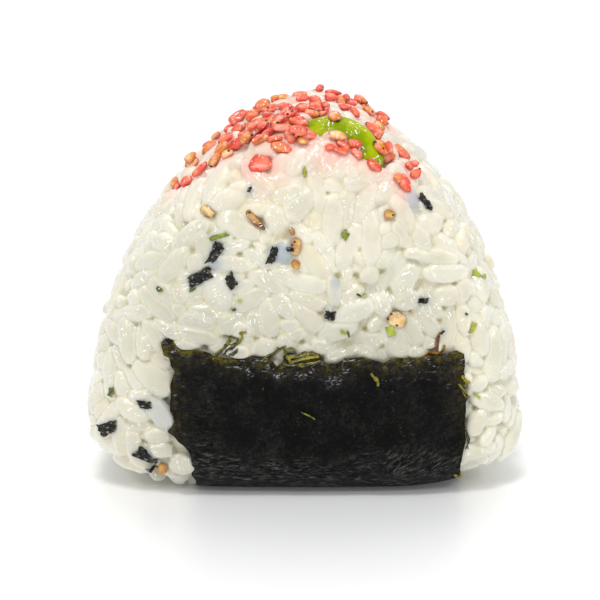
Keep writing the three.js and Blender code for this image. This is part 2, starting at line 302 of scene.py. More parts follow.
def bumps(p, size, seed):
    # smooth random values between -1 and 1 that change over about this many millimetres
    q = p / size
    cell = np.floor(q).astype(np.int64)
    t = q - cell
    t = t * t * (3 - 2 * t)
    total = np.zeros(p.shape[:-1])
    for corner in range(8):
        side = np.array([corner & 1, corner >> 1 & 1, corner >> 2 & 1])
        key = cell + side
        mixed = key[..., 0] * 73856093 ^ key[..., 1] * 19349663 ^ key[..., 2] * 83492791 ^ seed * 7919
        mixed = ((mixed ^ mixed >> 13) * 1274126177) & 0xFFFFFFFF
        value = ((mixed ^ mixed >> 16) & 0xFFFF) / 32767.5 - 1
        total += value * np.prod(np.where(side == 1, t, 1 - t), axis=-1)
    return total


def chance(seed):
    # the same repeatable draw as the solids', so that hidden seeds fall in the same places
    state = seed

    def draw():
        nonlocal state
        state = (state + 0x6D2B79F5) & 0xFFFFFFFF
        mixed = ((state ^ (state >> 15)) * (1 | state)) & 0xFFFFFFFF
        mixed = ((mixed + ((mixed ^ (mixed >> 7)) * (61 | mixed))) ^ mixed) & 0xFFFFFFFF
        return (mixed ^ (mixed >> 14)) / 4294967296

    return draw


def addPiece(name, points, faces, node, material, attributes):
    mesh = bpy.data.meshes.new(name)
    mesh.from_pydata((np.asarray(points) * mm).tolist(), [], [tuple(face) for face in faces])
    mesh.polygons.foreach_set("use_smooth", np.ones(len(mesh.polygons), bool))
    for key, values in attributes.items():
        layer = mesh.attributes.new(key, "FLOAT", "POINT")
        layer.data.foreach_set("value", np.asarray(values, np.float32).ravel())
    mesh.materials.append(material)
    piece = addObject(name, mesh)
    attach(piece, "root")
    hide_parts(node)
    print("made", name, len(faces), "faces")


def beadFaces(rings, around, copies=1):
    # faces of closed beads one after another; the first and last points of each are its ends
    last = rings * around + 1
    base = last - around
    faces = []
    for i in range(around):
        j = (i + 1) % around
        faces += [(0, 1 + j, 1 + i), (last, base + i, base + j)]
        for a in range(1, base, around):
            faces.append((a + i, a + j, a + around + j, a + around + i))
    return [tuple(index + copy * (last + 1) for index in face) for copy in range(copies) for face in faces]


def beadAngles(rings, around):
    # angles along a bead, from end to end, and around it
    steps = np.arange(1, rings + 1) * math.pi / (rings + 1)
    along = np.concatenate([[0], np.repeat(steps, around), [math.pi]])
    turn = np.concatenate([[0], np.tile(np.arange(around) * 2 * math.pi / around, rings), [0]])
    return along, turn


def slabFaces(columns, rows, turned):
    # faces of a sheet's two sides and its rim
    count = (columns + 1) * (rows + 1)
    grid = np.arange(count).reshape(columns + 1, rows + 1)
    a, b, c, d = (part.ravel() for part in (grid[:-1, :-1], grid[1:, :-1], grid[1:, 1:], grid[:-1, 1:]))
    rim = np.array([*grid[:, 0], *grid[-1, 1:], *grid[-2::-1, -1], *grid[0, -2:0:-1]])
    after = np.roll(rim, -1)
    top, under = np.stack([a, d, c, b], axis=1), np.stack([a, b, c, d], axis=1) + count
    faces = np.vstack([top, under, np.stack([rim, after, after + count, rim + count], axis=1)])
    return faces[:, [0, 3, 2, 1] if turned else [0, 1, 2, 3]].tolist()


def treeOf(places):
    tree = KDTree(len(places))
    for i, place in enumerate(places):
        tree.insert(place, i)
    tree.balance()
    return tree


nori = {
    "left": -21.7, "right": 25.6, "top": 24.4,
    "tuck": 3.6, "tuckFrom": 13.0, "tuckTo": 4.0,
    "thickness": 0.28,
    "columns": 205, "rows": 228, "crowding": 1.8,
    "step": 0.4,            # between places along the strip while it is laid out
    "wave": 0.2,            # height of its slow waves
    "crumple": 0.26, "crests": 0.22, "grit": 0.09,      # heights in the wet band along the top
    "wrinkles": 0.17, "folds": 0.07, "swirl": 0.12,     # heights below, at the right and at the left
    "grain": ((0.025, 1.1, 14), (0.02, 0.6, 15)),       # height, size and seed
    # the edges on the front, as places in the view
    "topEdge": [
        (161, 343), (164, 339), (171, 338), (176, 346), (181, 350), (196, 350), (208, 353), (211, 357),
        (226, 360), (238, 360), (245, 356.5), (253, 359), (263, 357), (267, 361), (270, 367), (276, 363),
        (281, 357), (287, 353), (299, 355), (307, 352.5), (318, 356), (321, 364), (332, 364), (342, 358.5),
        (352, 358), (362, 356.5), (373, 361), (380, 363), (387, 360), (395, 358), (407, 359), (418, 358),
        (424, 356), (437, 355), (448, 353), (457, 351), (464, 354),
    ],
    "leftEdge": [
        (161, 343), (162, 349), (164, 355), (169, 358), (171, 366), (175, 371), (172, 379), (170, 386),
        (171, 393), (170, 402), (170, 411), (173, 416), (174, 422), (171, 428), (166.5, 431.5), (175, 437),
        (178, 442), (184, 446), (189, 452), (191, 457), (192, 462), (192, 474), (196, 479),
    ],
    "rightEdge": [
        (464, 354), (465, 363), (464, 373), (465.5, 379), (464.5, 386), (466.5, 393), (468, 398),
        (466, 402), (466, 412), (464.5, 423), (466, 440), (462, 455), (460, 468), (457, 479),
    ],
}


def noriLeft(z):
    return nori["left"] + nori["tuck"] * (1 - smooth(nori["tuckTo"], nori["tuckFrom"], z))


def insideNori(p):
    # how far a place is inside the edges of the strip, outside it negative
    x, z = p[..., 0], p[..., 2]
    return np.minimum(np.minimum(x - noriLeft(z), nori["right"] - x), nori["top"] - z)


bean = {
    "length": 15.0, "width": 7.0, "depth": 5.6, "bend": 2.0, "sunk": 1.9,
    "fullness": 0.62,       # of its ends, from 0 for blunt to 1 for round
    "upUneven": 0.10, "sideUneven": 0.12, "seam": 0.10,
    "ends": ((0.8, -9.7), (13.0, -11.7)),
    "rings": 40, "around": 36,
}


def beanPoints(local):
    # bends places in the bean's own axes onto the onigiri
    first, last = (fromAbove(*end) for end in bean["ends"])
    middle = fromAbove(*np.mean(bean["ends"], axis=0))
    out = outwards(middle)
    along = last - first
    along = unit(along - out * (along @ out))
    across = np.cross(out, along)
    sag = bean["bend"] * (local[..., 0] / (bean["length"] / 2)) ** 2
    sideways = (local[..., 1] - sag)[..., None]
    upwards = (local[..., 2] - bean["sunk"] - sag)[..., None]
    return middle + along * local[..., 0:1] + across * sideways + out * upwards


rice = {
    "grains": 980,
    "halfLength": 4.25, "halfLengthSpread": 0.45, "shortShare": 0.14, "shortBy": (0.6, 0.85),
    "halfWidth": 1.86, "widthSpread": 0.07, "halfDepth": 1.55, "depthSpread": 0.07,
    "flatness": 0.62,       # how far grains turn to lie along the surface
    "deepest": 5.4,         # of the layer of grains
    "coreDepth": 2.0,
    "underNori": 0.75,      # how far grains stay below the surface under the strip
    "hiddenBy": 4.0,        # grains further than this under the strip are left out
    "placedDepth": 1.15,    # how deep the middle of a grain that is plain to see lies
    "squeeze": 0.84,        # how close grains are pressed, as a share of touching
    "proudSpread": 0.2,
    "flankLow": 0.35,       # on the narrow sides grains stand out unevenly, between this much lower
    "flankHigh": 0.75,      # and this much higher
    "rounds": 70,           # of loosening the grains
    # how far a round moves grains apart, up from the middle, out into empty room, along and round
    "loosen": 0.45, "hold": 0.3, "rise": 0.12, "move": 1.6, "turn": 0.8,
    "rings": 9, "around": 12,
    "voxel": 0.33,          # size of the cells from which the grains' common skin is made
    "melt": 1,              # rounds of smoothing that skin
    "swell": 0.38,          # how much rounder each grain is than the skin leaves it
    "uneven": (0.3, 1.35),  # share of that swelling from grain to grain
    "pit": 0.3,             # depth of the gaps where three grains meet
    "bumps": ((0.14, 5.5, 40), (0.035, 1.3, 6), (0.015, 0.8, 7)),    # height, size and seed
    "ledge": 0.65,          # how far the upper rice stands out over the lower at the right
    "ledgeLine": [(322, 262), (345, 258), (372, 268), (400, 266), (425, 265), (470, 266)],
    # how the gaps between grains are filled with starch: how wide a gap and how much of it
    "filling": ((16, 0.4), (5, 0.5)),
    "triangles": 190000,    # of the skin once its smooth places are thinned
    # plum juice: reach and strength close to the seeds, then further out and how much more on top
    "juice": ((0.9, 0.2), (0.55, 0.3)), "juiceAround": (3.6, 0.5, 0.2),
    "seed": 4, "unevenSeed": 51, "juiceSeed": 53,
    # grains that are plain to see: place in the view, turn, length, width in pixels, whiteness
    "placed": [
        (217.5, 293.5, -75, 40, 29, 1.6), (233, 265, -3, 53, 20, 0.6), (298, 281, -17, 61, 24, 1.2),
        (238, 227, -25, 44, 26, 0.6), (333, 219.5, 90, 56, 25, 0.8), (268.5, 319, -80, 40, 21, 0.8),
        (172, 264, 45, 44, 21, 0.7), (239, 187, 0, 24, 15, 0.2), (225, 199, 24, 40, 22, 0.5),
        (195, 336, -14, 46, 18, 0.4), (282.5, 254, 10, 24, 23, 0.4), (277, 222, -60, 38, 24, 0.3),
        (449, 273, 0, 49, 19, 1.1), (354, 314, 27, 49, 22, 1.5), (369.5, 275.5, 40, 19, 18, 1.0),
        (404, 214, -57, 46, 20, 0.4), (434, 221, 10, 26, 25, 0.8), (433, 256, -8, 60, 16, 0.3),
        (406, 281, 60, 36, 24, 0.1), (466, 291, 80, 27, 18, 0.5), (407, 302, 20, 26, 22, 0.9),
        (466, 319, -80, 38, 16, 0.1), (447, 297, 0, 24, 22, 0.3), (338, 330, 20, 40, 22, 1.1),
        (382, 307, -50, 26, 18, 0.9), (333, 292, -80, 32, 16, 0.0), (300, 205, 50, 40, 24, 0.5),
        (365, 203, 68, 46, 22, 0.4), (190, 232, 30, 44, 20, 0.3), (210, 314, -14, 44, 18, 0.3),
        (184, 345, -5, 34, 16, 0.1), (478, 424, 70, 30, 18, 0.5), (182, 468, 10, 30, 22, 0.9),
        (160, 452, -20, 24, 20, 0.6), (240, 352, 0, 34, 16, 0.4), (262, 349, 20, 26, 20, 1.0),
        (161, 417, -48, 40, 26, 1.1), (131, 412, -32, 36, 22, 0.8), (197, 322, -10, 40, 18, 0.1),
        (169, 331, -38, 34, 18, 0.3), (421, 236, -60, 34, 20, 0.5), (152, 379, -42, 50, 26, 0.9),
    ],
}

# grains stained blue-grey by the seaweed: place in the view, reach in pixels and strength
stains = [
    (282, 254, 10, 0.75), (209, 262, 8, 0.7), (339, 282, 5, 0.6), (345, 294, 10, 0.22), (417, 200, 8, 0.6),
    (161, 404, 9, 0.35), (163, 420, 10, 0.3), (150, 412, 8, 0.2),
]

# brown smears beside toasted seeds, in the same way
smears = [
    (262, 228, 3, 0.6), (266, 232.5, 3, 0.7), (271, 236, 3.5, 0.6), (277, 238.5, 3.5, 0.5),
    (284, 237, 4, 0.6), (290, 232, 4, 0.7), (296, 255, 3, 0.5), (387, 208, 2.5, 0.5),
]

# gaps that are plain to see: place in the view, reach and depth in mm and darkness of their painted shade
gaps = [
    (370, 245, 0.58, 0.6, 0.5), (395, 261, 0.58, 0.7, 0.6), (386, 275, 0.67, 0.8, 0.6),
    (396, 288, 0.58, 0.8, 0.8), (356, 278, 0.58, 0.8, 0.8), (345, 281, 0.67, 0.8, 0.7),
    (360, 295, 0.5, 0.7, 0.9), (368, 341, 0.5, 0.8, 0.9), (386, 342, 0.42, 0.8, 0.9),
    (432, 328, 0.5, 0.6, 0.7), (451, 311, 0.5, 0.7, 0.6), (304, 338, 0.5, 0.7, 0.8),
    (309, 315, 0.5, 0.6, 0.6), (239, 254, 0.5, 0.8, 0.7), (319, 192, 0.42, 0.5, 0.4),
    (412, 310, 0.42, 0.6, 0.5), (251, 247, 0.5, 0.7, 0.4), (190, 252, 0.5, 0.7, 0.5),
    (153, 424, 0.5, 0.8, 0.6), (171, 398, 0.5, 0.7, 0.6), (184, 442, 0.58, 0.8, 0.6),
    (148, 446, 0.5, 0.8, 0.6), (131, 370, 0.42, 0.6, 0.5), (322, 136, 1.17, 0.9, 0.0),
    (476, 404, 0.67, 0.9, 0.4), (469, 383, 0.5, 0.6, 0.4), (254, 339, 0.5, 0.7, 0.6),
    (225, 335, 0.5, 0.7, 0.6), (166, 351, 1.67, 0.6, 0.0),
]

# balls along a grain that stand in for it while it is packed, as share of half length and radius
grainBalls = np.array([[-0.7, 1.2], [-0.37, 1.58], [0.0, 1.68], [0.37, 1.58], [0.7, 1.2]])
ledgeX, ledgeZ = viewCurve(rice["ledgeLine"])


def allowedLevel(p):
    x, y, z = np.moveaxis(p, -1, 0)
    flank = 1 - np.abs(outwards(p)[..., 1])
    below = np.interp(x, ledgeX, ledgeZ) - z
    ledge = smooth(-0.6, 0.6, below) * smooth(12, 4, below)
    ledge *= smooth(ledgeX[0] - 1, ledgeX[0] + 3, x) * (y < 0)
    under = smooth(-0.5, 0.4, insideNori(p))
    return -rice["underNori"] * under - rice["flankLow"] * flank - rice["ledge"] * ledge


def placedGrains():
    # the grains listed: where, which way, half length, width and whiteness
    px, py, turn, length, width, tone = np.array(rice["placed"], float).T
    spots = seenSpot(px, py)
    out = outwards(spots)
    heading = lyingOn(out, viewHeading(turn))
    half, wide = length / (2 * view["scale"]), width / (2 * view["scale"]) / rice["halfWidth"]
    return spots - out * rice["placedDepth"], heading, half, wide, tone


def throwGrains(random):
    # random grains in the outer layer of the ball
    corners = (-37, 37), (-20, 20), (0, 64)
    thrown = np.column_stack([random.uniform(low, high, 60000) for low, high in corners])
    level = levelOf(thrown)
    keep = (level < -1.2) & (level > -rice["deepest"] + 0.6) & (insideNori(thrown) < rice["hiddenBy"])
    places = thrown[keep][:rice["grains"]]
    out = outwards(places)
    heading = random.normal(size=(len(places), 3))
    heading -= out * (heading * out).sum(1, keepdims=True) * rice["flatness"]
    half = rice["halfLength"] + random.normal(size=len(places)) * rice["halfLengthSpread"]
    short = random.uniform(size=len(places)) < rice["shortShare"]
    half = np.where(short, half * random.uniform(*rice["shortBy"], len(places)), half)
    return places, unit(heading), half


def neighbourPairs(places):
    tree = treeOf(places)
    span = 2 * rice["halfLength"] + 1.5
    pairs = [(i, j) for i, place in enumerate(places) for _, j, _ in tree.find_range(place, span) if j > i]
    return np.array(pairs)


def packGrains():
    # loosens the overlaps of the thrown grains while the mould presses them together
    random = np.random.RandomState(rice["seed"])
    thrown = throwGrains(random)
    *placed, placedWidth, placedTone = placedGrains()
    fixed = len(placedTone)
    places, heading, half = (np.concatenate(pair) for pair in zip(placed, thrown))
    total = len(places)
    proud = random.normal(size=total) * rice["proudSpread"]
    proud += (1 - np.abs(outwards(places)[:, 1])) * random.uniform(0, rice["flankHigh"], total)
    proud[:fixed] = 0.4 + 0.25 * np.clip(placedTone, 0, 1.4)
    width = 1 + random.normal(size=total) * rice["widthSpread"]
    width[:fixed] = placedWidth
    tone = np.clip(random.normal(size=total) * 0.8, -1.5, 0.9)
    tone[:fixed] = placedTone
    shares, radii = grainBalls.T
    count = len(grainBalls)
    first, second = (grid.ravel() for grid in np.meshgrid(range(count), range(count), indexing="ij"))
    steps = np.linspace(-0.42, 0.42, 5) * bean["length"]
    obstacles = beanPoints(np.column_stack([steps, 0 * steps, 0 * steps]))
    for turn in range(rice["rounds"]):
        if turn % 8 == 0:
            pairs = neighbourPairs(places)
            a, b = pairs[:, 0][:, None], pairs[:, 1][:, None]
        offsets = shares[None, :] * half[:, None]
        balls = places[:, None] + heading[:, None] * offsets[..., None]
        gap = balls[a, first] - balls[b, second]
        apart = np.linalg.norm(gap, axis=-1)
        overlap = (radii[first] * width[a] + radii[second] * width[b]) * rice["squeeze"] - apart
        hit = overlap > 0
        move = gap[hit] / np.maximum(apart[hit], 1e-6)[:, None] * overlap[hit][:, None] * 0.5
        rowA, rowB = (a * count + first)[hit], (b * count + second)[hit]
        push = np.zeros((total * count, 3))
        for axis in range(3):
            push[:, axis] += np.bincount(rowA, move[:, axis], len(push))
            push[:, axis] -= np.bincount(rowB, move[:, axis], len(push))
        push = push.reshape(balls.shape) * rice["loosen"]
        # the mould holds the grains in, and its middle holds them up
        out = outwards(balls)
        level = levelOf(balls)
        high = level + radii - allowedLevel(balls) - proud[:, None]
        push -= out * np.maximum(high, 0)[..., None]
        low = -rice["deepest"] - (level - radii)
        push += out * (np.maximum(low, 0) * rice["hold"])[..., None]
        room = np.maximum(-high.max(axis=1), 0)
        push += out * (np.minimum(room, 0.3) * rice["rise"])[:, None, None]
        for obstacle in obstacles:
            away = balls - obstacle
            near = np.linalg.norm(away, axis=-1)
            inside = np.maximum(bean["width"] * 0.33 + radii - near, 0)
            push += away / near[..., None] * inside[..., None]
        push[:fixed] = 0
        places = places + push.mean(axis=1) * rice["move"]
        lever = (push * offsets[..., None]).sum(axis=1) / (offsets ** 2).sum(axis=1)[:, None]
        heading = unit(heading + lever * rice["turn"])
    print("packed", total, "grains")
    return (places, heading, half, width), proud, tone, random


def grainShapes(half, width, random):
    # plump, slightly bent and uneven beads, one for each half length
    along, turn = beadAngles(rice["rings"], rice["around"])
    count = len(half)
    x = -np.cos(along)
    phase = random.uniform(0, 2 * math.pi, (count, 4))[:, :, None]
    plump = random.uniform(0.62, 0.85, count)[:, None]
    depth = 1 + random.normal(size=(count, 1)) * rice["depthSpread"]
    egg = random.normal(size=(count, 1)) * 0.11
    bend = random.normal(size=(count, 1)) * 0.3
    swell = (
        1
        + 0.05 * np.sin(2 * turn + phase[:, 0]) * np.sin(along)
        + 0.05 * np.sin(2.5 * along + phase[:, 1])
        + 0.035 * np.sin(3 * turn + 2 * along + phase[:, 2])
    )
    facing = np.mod(turn - phase[:, 3], 2 * math.pi) - math.pi
    notch = np.exp(-((along - 0.45) / 0.35) ** 2 - (facing / 0.7) ** 2)    # where the germ was
    girth = np.sin(along) ** plump * swell * (1 + egg * x) * (1 - 0.25 * notch)
    across = girth * np.cos(turn) * rice["halfWidth"] * width[:, None] + bend * (x * x - 0.4)
    return np.stack([x * half[:, None], across, girth * np.sin(turn) * rice["halfDepth"] * depth], axis=-1)


def looseGrains():
    # the packed grains as beads, with whatever stands above the mould pressed nearly flat against it
    pack, proud, tone, random = packGrains()
    places, heading, half, width = pack
    across = unit(np.cross(outwards(places), heading) + 1e-6)
    lift = np.cross(heading, across)
    local = grainShapes(half, width, random)
    points = (
        places[:, None]
        + heading[:, None] * local[..., 0:1]
        + across[:, None] * local[..., 1:2]
        + lift[:, None] * local[..., 2:3]
    )
    points = points + (points - places[:, None]) * 0.03 * bumps(points, 1.7, 6)[..., None]
    over = levelOf(points) - allowedLevel(points) - proud[:, None] + 0.35
    pressed = np.where(over > 0, 0.42 * np.tanh(over / 0.42), over)
    return points + outwards(points) * (pressed - over)[..., None], pack, tone


def coreBead():
    # the plain middle, deep enough to show only as the dark between grains
    rings, around = 24, 64
    along, turn = beadAngles(rings, around)
    way = np.column_stack([np.sin(along) * np.cos(turn), -np.cos(along), np.sin(along) * np.sin(turn)])
    points = np.array([0.0, 0.0, 27.0]) + way * np.array([34.0, 18.0, 30.0])
    return settle(points, -rice["coreDepth"], 6), beadFaces(rings, around)


def averaged(values, edges, rounds):
    # spreads the values of a mesh's points over their neighbours
    ends = np.concatenate([edges, edges[:, ::-1]])
    count = len(values)
    share = np.maximum(np.bincount(ends[:, 0], minlength=count), 1)[:, None]
    for _ in range(rounds):
        near = [np.bincount(ends[:, 0], values[ends[:, 1], axis], count) for axis in range(values.shape[1])]
        values = 0.5 * values + 0.5 * np.stack(near, axis=1) / share
    return values


def largestShell(count, edges):
    # which points belong to the shell that has the most of them
    label = np.arange(count)
    while True:
        low = np.minimum(label[edges[:, 0]], label[edges[:, 1]])
        new = label.copy()
        np.minimum.at(new, edges[:, 0], low)
        np.minimum.at(new, edges[:, 1], low)
        new = new[new][new[new]]
        if (new == label).all():
            return label == np.bincount(label).argmax()
        label = new


def modified(points, faces, kind, settings):
    # points, edges and faces of a mesh after one modifier
    mesh = bpy.data.meshes.new("loose")
    mesh.from_pydata(points.tolist(), [], faces)
    loose = addObject("loose", mesh)
    modifier = loose.modifiers.new("change", kind)
    for key, value in settings.items():
        setattr(modifier, key, value)
    changed = loose.evaluated_get(bpy.context.evaluated_depsgraph_get()).to_mesh()
    points = np.empty(len(changed.vertices) * 3)
    changed.vertices.foreach_get("co", points)
    edges = np.empty(len(changed.edges) * 2, np.int32)
    changed.edges.foreach_get("vertices", edges)
    faces = [tuple(face.vertices) for face in changed.polygons]
    bpy.data.objects.remove(loose)
    return points.reshape(-1, 3), edges.reshape(-1, 2), faces


def gapSpot(points, junction, px, py, dark):
    # the nearest place to a gap where three grains meet; a gap without darkness stays where it is
    spot = seenSpot(px, py)
    away = np.linalg.norm(points - spot, axis=1)
    return points[np.argmin(np.where(away < 2.0, junction + 0.25 * away, 99))] if dark else spot


def grainBorders(points, places, heading, half, width):
    # the grain each point belongs to, how much further the next one is, and the one after it
    tree = treeOf(places)
    grain = np.array([[found[1] for found in tree.find_n(point, 12)] for point in points])
    away = points[:, None] - places[grain]
    straight = 0.72 * half[grain]
    along = np.clip((away * heading[grain]).sum(axis=2), -straight, straight)
    away = away - heading[grain] * along[..., None]
    gap = np.linalg.norm(away, axis=2) - 1.66 * width[grain] * (1 - 0.3 * (along / straight) ** 2)
    order = np.argsort(gap, axis=1)
    nearest, second, third = np.take_along_axis(gap, order[:, :3], axis=1).T
    owner = grain[np.arange(len(points)), order[:, 0]]
    return owner, np.minimum(second - nearest, 3.0), np.minimum(third - nearest, 3.0)


def riceSkin(grains, pack):
    # one skin over all the grains, melted together a little where they touch
    corePoints, coreFaces = coreBead()
    copies, stride = grains.shape[:2]
    faces = beadFaces(rice["rings"], rice["around"], copies)
    faces += [tuple(index + copies * stride for index in face) for face in coreFaces]
    loose = np.vstack([grains.reshape(-1, 3), corePoints])
    points, edges, faces = modified(loose, faces, "REMESH", {"mode": "VOXEL", "voxel_size": rice["voxel"]})
    keep = largestShell(len(points), edges)
    renumber = np.cumsum(keep) - 1
    edges = renumber[edges[keep[edges[:, 0]]]]
    faces = np.array(faces)
    faces = renumber[faces[keep[faces[:, 0]]]]
    points = averaged(points[keep], edges, rice["melt"])
    for rounds, share in rice["filling"]:
        out = outwards(points)
        sag = ((averaged(points, edges, rounds) - points) * out).sum(axis=1)
        points = points + out * (np.maximum(sag - 0.03, 0) * share)[:, None]
    out = outwards(points)
    owner, border, junction = grainBorders(points, *pack)
    spots = [gapSpot(points, junction, px, py, dark) for px, py, _, _, dark in gaps]
    # grains stand out more on the narrow sides and low down, and less near the top
    share = np.maximum(1.8 * (1 - np.abs(out[:, 1])), smooth(44, 26, points[:, 2]))
    share = np.clip(0.45 + 0.6 * share, 0, 1.25) * (1 - 0.5 * smooth(46, 53, points[:, 2]))
    swollen = np.sqrt(1 - (1 - np.clip(border / 2.2, 0, 1)) ** 2) - 0.6
    uneven = np.random.RandomState(rice["unevenSeed"]).uniform(*rice["uneven"], len(pack[0]))[owner]
    level = rice["swell"] * swollen * share * uneven
    level -= rice["pit"] * smooth(0.8, 0.2, junction) * smooth(-0.1, 0.5, bumps(points, 3.1, 30)) * share
    star = 0.4 + 0.6 * smooth(0.9, 0.2, border)
    for spot, (_, _, size, depth, dark) in zip(spots, gaps):
        away = np.linalg.norm(points - spot, axis=1) / size
        level -= depth * smooth(1.3, 0.3, away) * (0.55 * star if dark else 1)
    level += sum(height * bumps(points, size, seed) for height, size, seed in rice["bumps"])
    points = points + out * (level * smooth(1.5, 0.5, insideNori(points)))[:, None]
    # nothing reaches into the table or the strip under the foot
    points[:, 2] = np.maximum(points[:, 2], 0.02 + 0.3 * smooth(-0.8, 0.2, insideNori(points)))
    ratio = min(rice["triangles"] / (2 * len(faces)), 1.0)
    return modified(points, faces.tolist(), "DECIMATE", {"ratio": ratio}), spots


grainPoints, pack, grainTone = looseGrains()
(ricePoints, riceEdges, riceFaces), gapSpots = riceSkin(grainPoints, pack)
print("stage: rice skin,", len(riceFaces), "faces", sum(len(face) - 2 for face in riceFaces), "triangles")
owner, border, junction = grainBorders(ricePoints, *pack)
riceTree = BVHTree.FromPolygons(ricePoints.tolist(), riceFaces)


def maths(tree, operation, a, b, clamp=False):
    return addNode(tree, "Math", {0: a, 1: b}, operation=operation, use_clamp=clamp).outputs[0]


def times(tree, first, *others):
    for other in others:
        first = maths(tree, "MULTIPLY", first, other)
    return first


def mixColors(tree, share, a, b):
    return addNode(tree, "Mix", {0: share, 6: a, 7: b}, data_type="RGBA").outputs[2]


def mixValues(tree, share, a, b):
    return addNode(tree, "Mix", {0: share, 2: a, 3: b}).outputs[0]


def spread(tree, value, low, high, toLow=0.0, toHigh=1.0):
    inputs = {"Value": value, 1: low, 2: high, 3: toLow, 4: toHigh}
    return addNode(tree, "MapRange", inputs, interpolation_type="SMOOTHSTEP").outputs[0]


def read(tree, name):
    return addNode(tree, "Attribute", {}, attribute_name=name).outputs["Fac"]


def layered(tree, look, color, layers):
    # lays the look's colours one over the other, each by its share
    for share, name in layers:
        color = mixColors(tree, share, color, look[name])
    return color


def objectPlace(tree, stretch=(1, 1, 1), turn=0):
    place = addNode(tree, "TexCoord", {}).outputs["Object"]
    if turn:
        inputs = {"Vector": place, "Rotation": (0, math.radians(turn), 0)}
        place = addNode(tree, "Mapping", inputs).outputs[0]
    return addNode(tree, "Mapping", {"Vector": place, "Scale": stretch}).outputs[0]


def noiseOf(tree, place, scale, detail=2.0, roughness=0.5, distortion=0.0):
    inputs = {"Scale": scale, "Detail": detail, "Roughness": roughness, "Distortion": distortion}
    return addNode(tree, "TexNoise", {"Vector": place, **inputs}).outputs["Fac"]


def bumpOf(tree, height, strength, distance):
    inputs = {"Height": height, "Strength": strength, "Distance": distance}
    return addNode(tree, "Bump", inputs).outputs["Normal"]


def newGroup(name, inputs, outputs):
    group = bpy.data.node_groups.new(name, "ShaderNodeTree")
    for label, value in inputs.items():
        socket = group.interface.new_socket(label, in_out="INPUT", socket_type="NodeSocketFloat")
        socket.default_value = value
    for label in outputs:
        group.interface.new_socket(label, in_out="OUTPUT", socket_type="NodeSocketFloat")
    return group, group.nodes.new("NodeGroupInput").outputs, group.nodes.new("NodeGroupOutput")


def mottleGroup():
    # soft patches of colour
    group, given, result = newGroup("mottle", {"Scale": 300.0, "Low": 0.4, "High": 0.6}, ["Patches"])
    noise = noiseOf(group, objectPlace(group), given["Scale"], 3.0)
    feed(group, result, {"Patches": spread(group, noise, given["Low"], given["High"])})
    return group


def wetSkinAndPaintedGlintsGroup():
    # fine unevenness of a moist surface, which breaks its gloss into clusters of small glints, and a mask
    # of painted glints that whitens the base colour in small dashes
    group, given, result = newGroup("wetSkinAndPaintedGlints", {
        "Coarse": 500.0, "Fine": 1800.0, "Patch": 300.0, "Smoothest": 0.15, "Dullest": 0.4, "Gloss": 0.3,
        "PaintedGlintScale": 1500.0, "PaintedGlintThreshold": 0.66,
    }, ["Height", "Roughness", "Wet", "PaintedGlint"])
    place = objectPlace(group)
    coarse, fine = noiseOf(group, place, given["Coarse"]), noiseOf(group, place, given["Fine"], 0.0)
    patch = spread(group, noiseOf(group, place, given["Patch"]), 0.42, 0.6)
    # painted glints: short dashes in two directions, on what faces up and forward
    places = (objectPlace(group, (0.4, 0.8, 1.5), turn) for turn in (25, 115))
    lying, leaning = (noiseOf(group, dashed, given["PaintedGlintScale"], 1.0) for dashed in places)
    side = spread(group, noiseOf(group, place, 330.0, 0.0), 0.48, 0.52)
    dash = mixValues(group, side, lying, leaning)
    dash = spread(group, dash, given["PaintedGlintThreshold"], maths(group, "ADD", given["PaintedGlintThreshold"], 0.04))
    inputs = {0: addNode(group, "NewGeometry", {}).outputs["Normal"], 1: (-0.15, -0.55, 0.8)}
    lit = addNode(group, "VectorMath", inputs, operation="DOT_PRODUCT").outputs["Value"]
    feed(group, result, {
        "Height": maths(group, "ADD", coarse, times(group, fine, patch, 0.7)),
        "Roughness": spread(group, patch, 0.0, 1.0, given["Dullest"], given["Smoothest"]),
        "Wet": times(group, patch, given["Gloss"]),
        "PaintedGlint": times(group, dash, spread(group, lit, 0.1, 0.65), spread(group, patch, 0.1, 0.7)),
    })
    return group


mottle = mottleGroup()
wetSkinAndPaintedGlints = wetSkinAndPaintedGlintsGroup()


def placeGroup(tree, group, values):
    node = tree.nodes.new("ShaderNodeGroup")
    node.node_tree = group
    feed(tree, node, values)
    return node.outputs


def patches(tree, scale, low, high):
    return placeGroup(tree, mottle, {"Scale": scale, "Low": low, "High": high})["Patches"]


def giveWetSkinAndPaintedGlints(tree, shader, color, look, paintedGlintShare=1.0, dullest=0.0):
    skin = placeGroup(tree, wetSkinAndPaintedGlints, look["skin"])
    # painted glints: the base colour is mixed toward white where the glint mask is, by this share
    paintedGlint = times(tree, skin["PaintedGlint"], paintedGlintShare)
    feed(tree, shader, {
        "Base Color": mixColors(tree, paintedGlint, color, (1, 1, 0.98)),
        "Roughness": maths(tree, "MAXIMUM", skin["Roughness"], dullest),
        "Coat Weight": skin["Wet"],
        "Normal": bumpOf(tree, skin["Height"], *look["bump"]),
    })


cookedRice = {
    # rim is painted light at grain borders and where the surface turns from the view; crease, gap and low
    # are painted shade
    "body": (0.775, 0.735, 0.605), "warm": (0.76, 0.695, 0.50), "cool": (0.72, 0.72, 0.62),
    "white": (0.87, 0.865, 0.79), "clear": (0.61, 0.59, 0.46), "low": (0.50, 0.485, 0.40),
    "crease": (0.72, 0.67, 0.42), "gap": (0.46, 0.42, 0.22), "inner": (0.66, 0.64, 0.51),
    "rim": (0.93, 0.92, 0.85), "tan": (0.50, 0.33, 0.09), "pink": (0.93, 0.53, 0.45),
    "grey": (0.36, 0.43, 0.50),
    "skin": {
        "Coarse": 450.0, "Fine": 2300.0, "Patch": 240.0, "Smoothest": 0.08, "Dullest": 0.3,
        "PaintedGlintScale": 2500.0, "PaintedGlintThreshold": 0.635,
    },
    "bump": (0.35, 0.0002),     # strength and distance
    "shader": {
        "Coat Roughness": 0.06, "Subsurface Weight": 0.7, "Subsurface Radius": (1.0, 0.93, 0.8),
        "Subsurface Scale": 0.0009, "IOR": 1.42,
    },
}


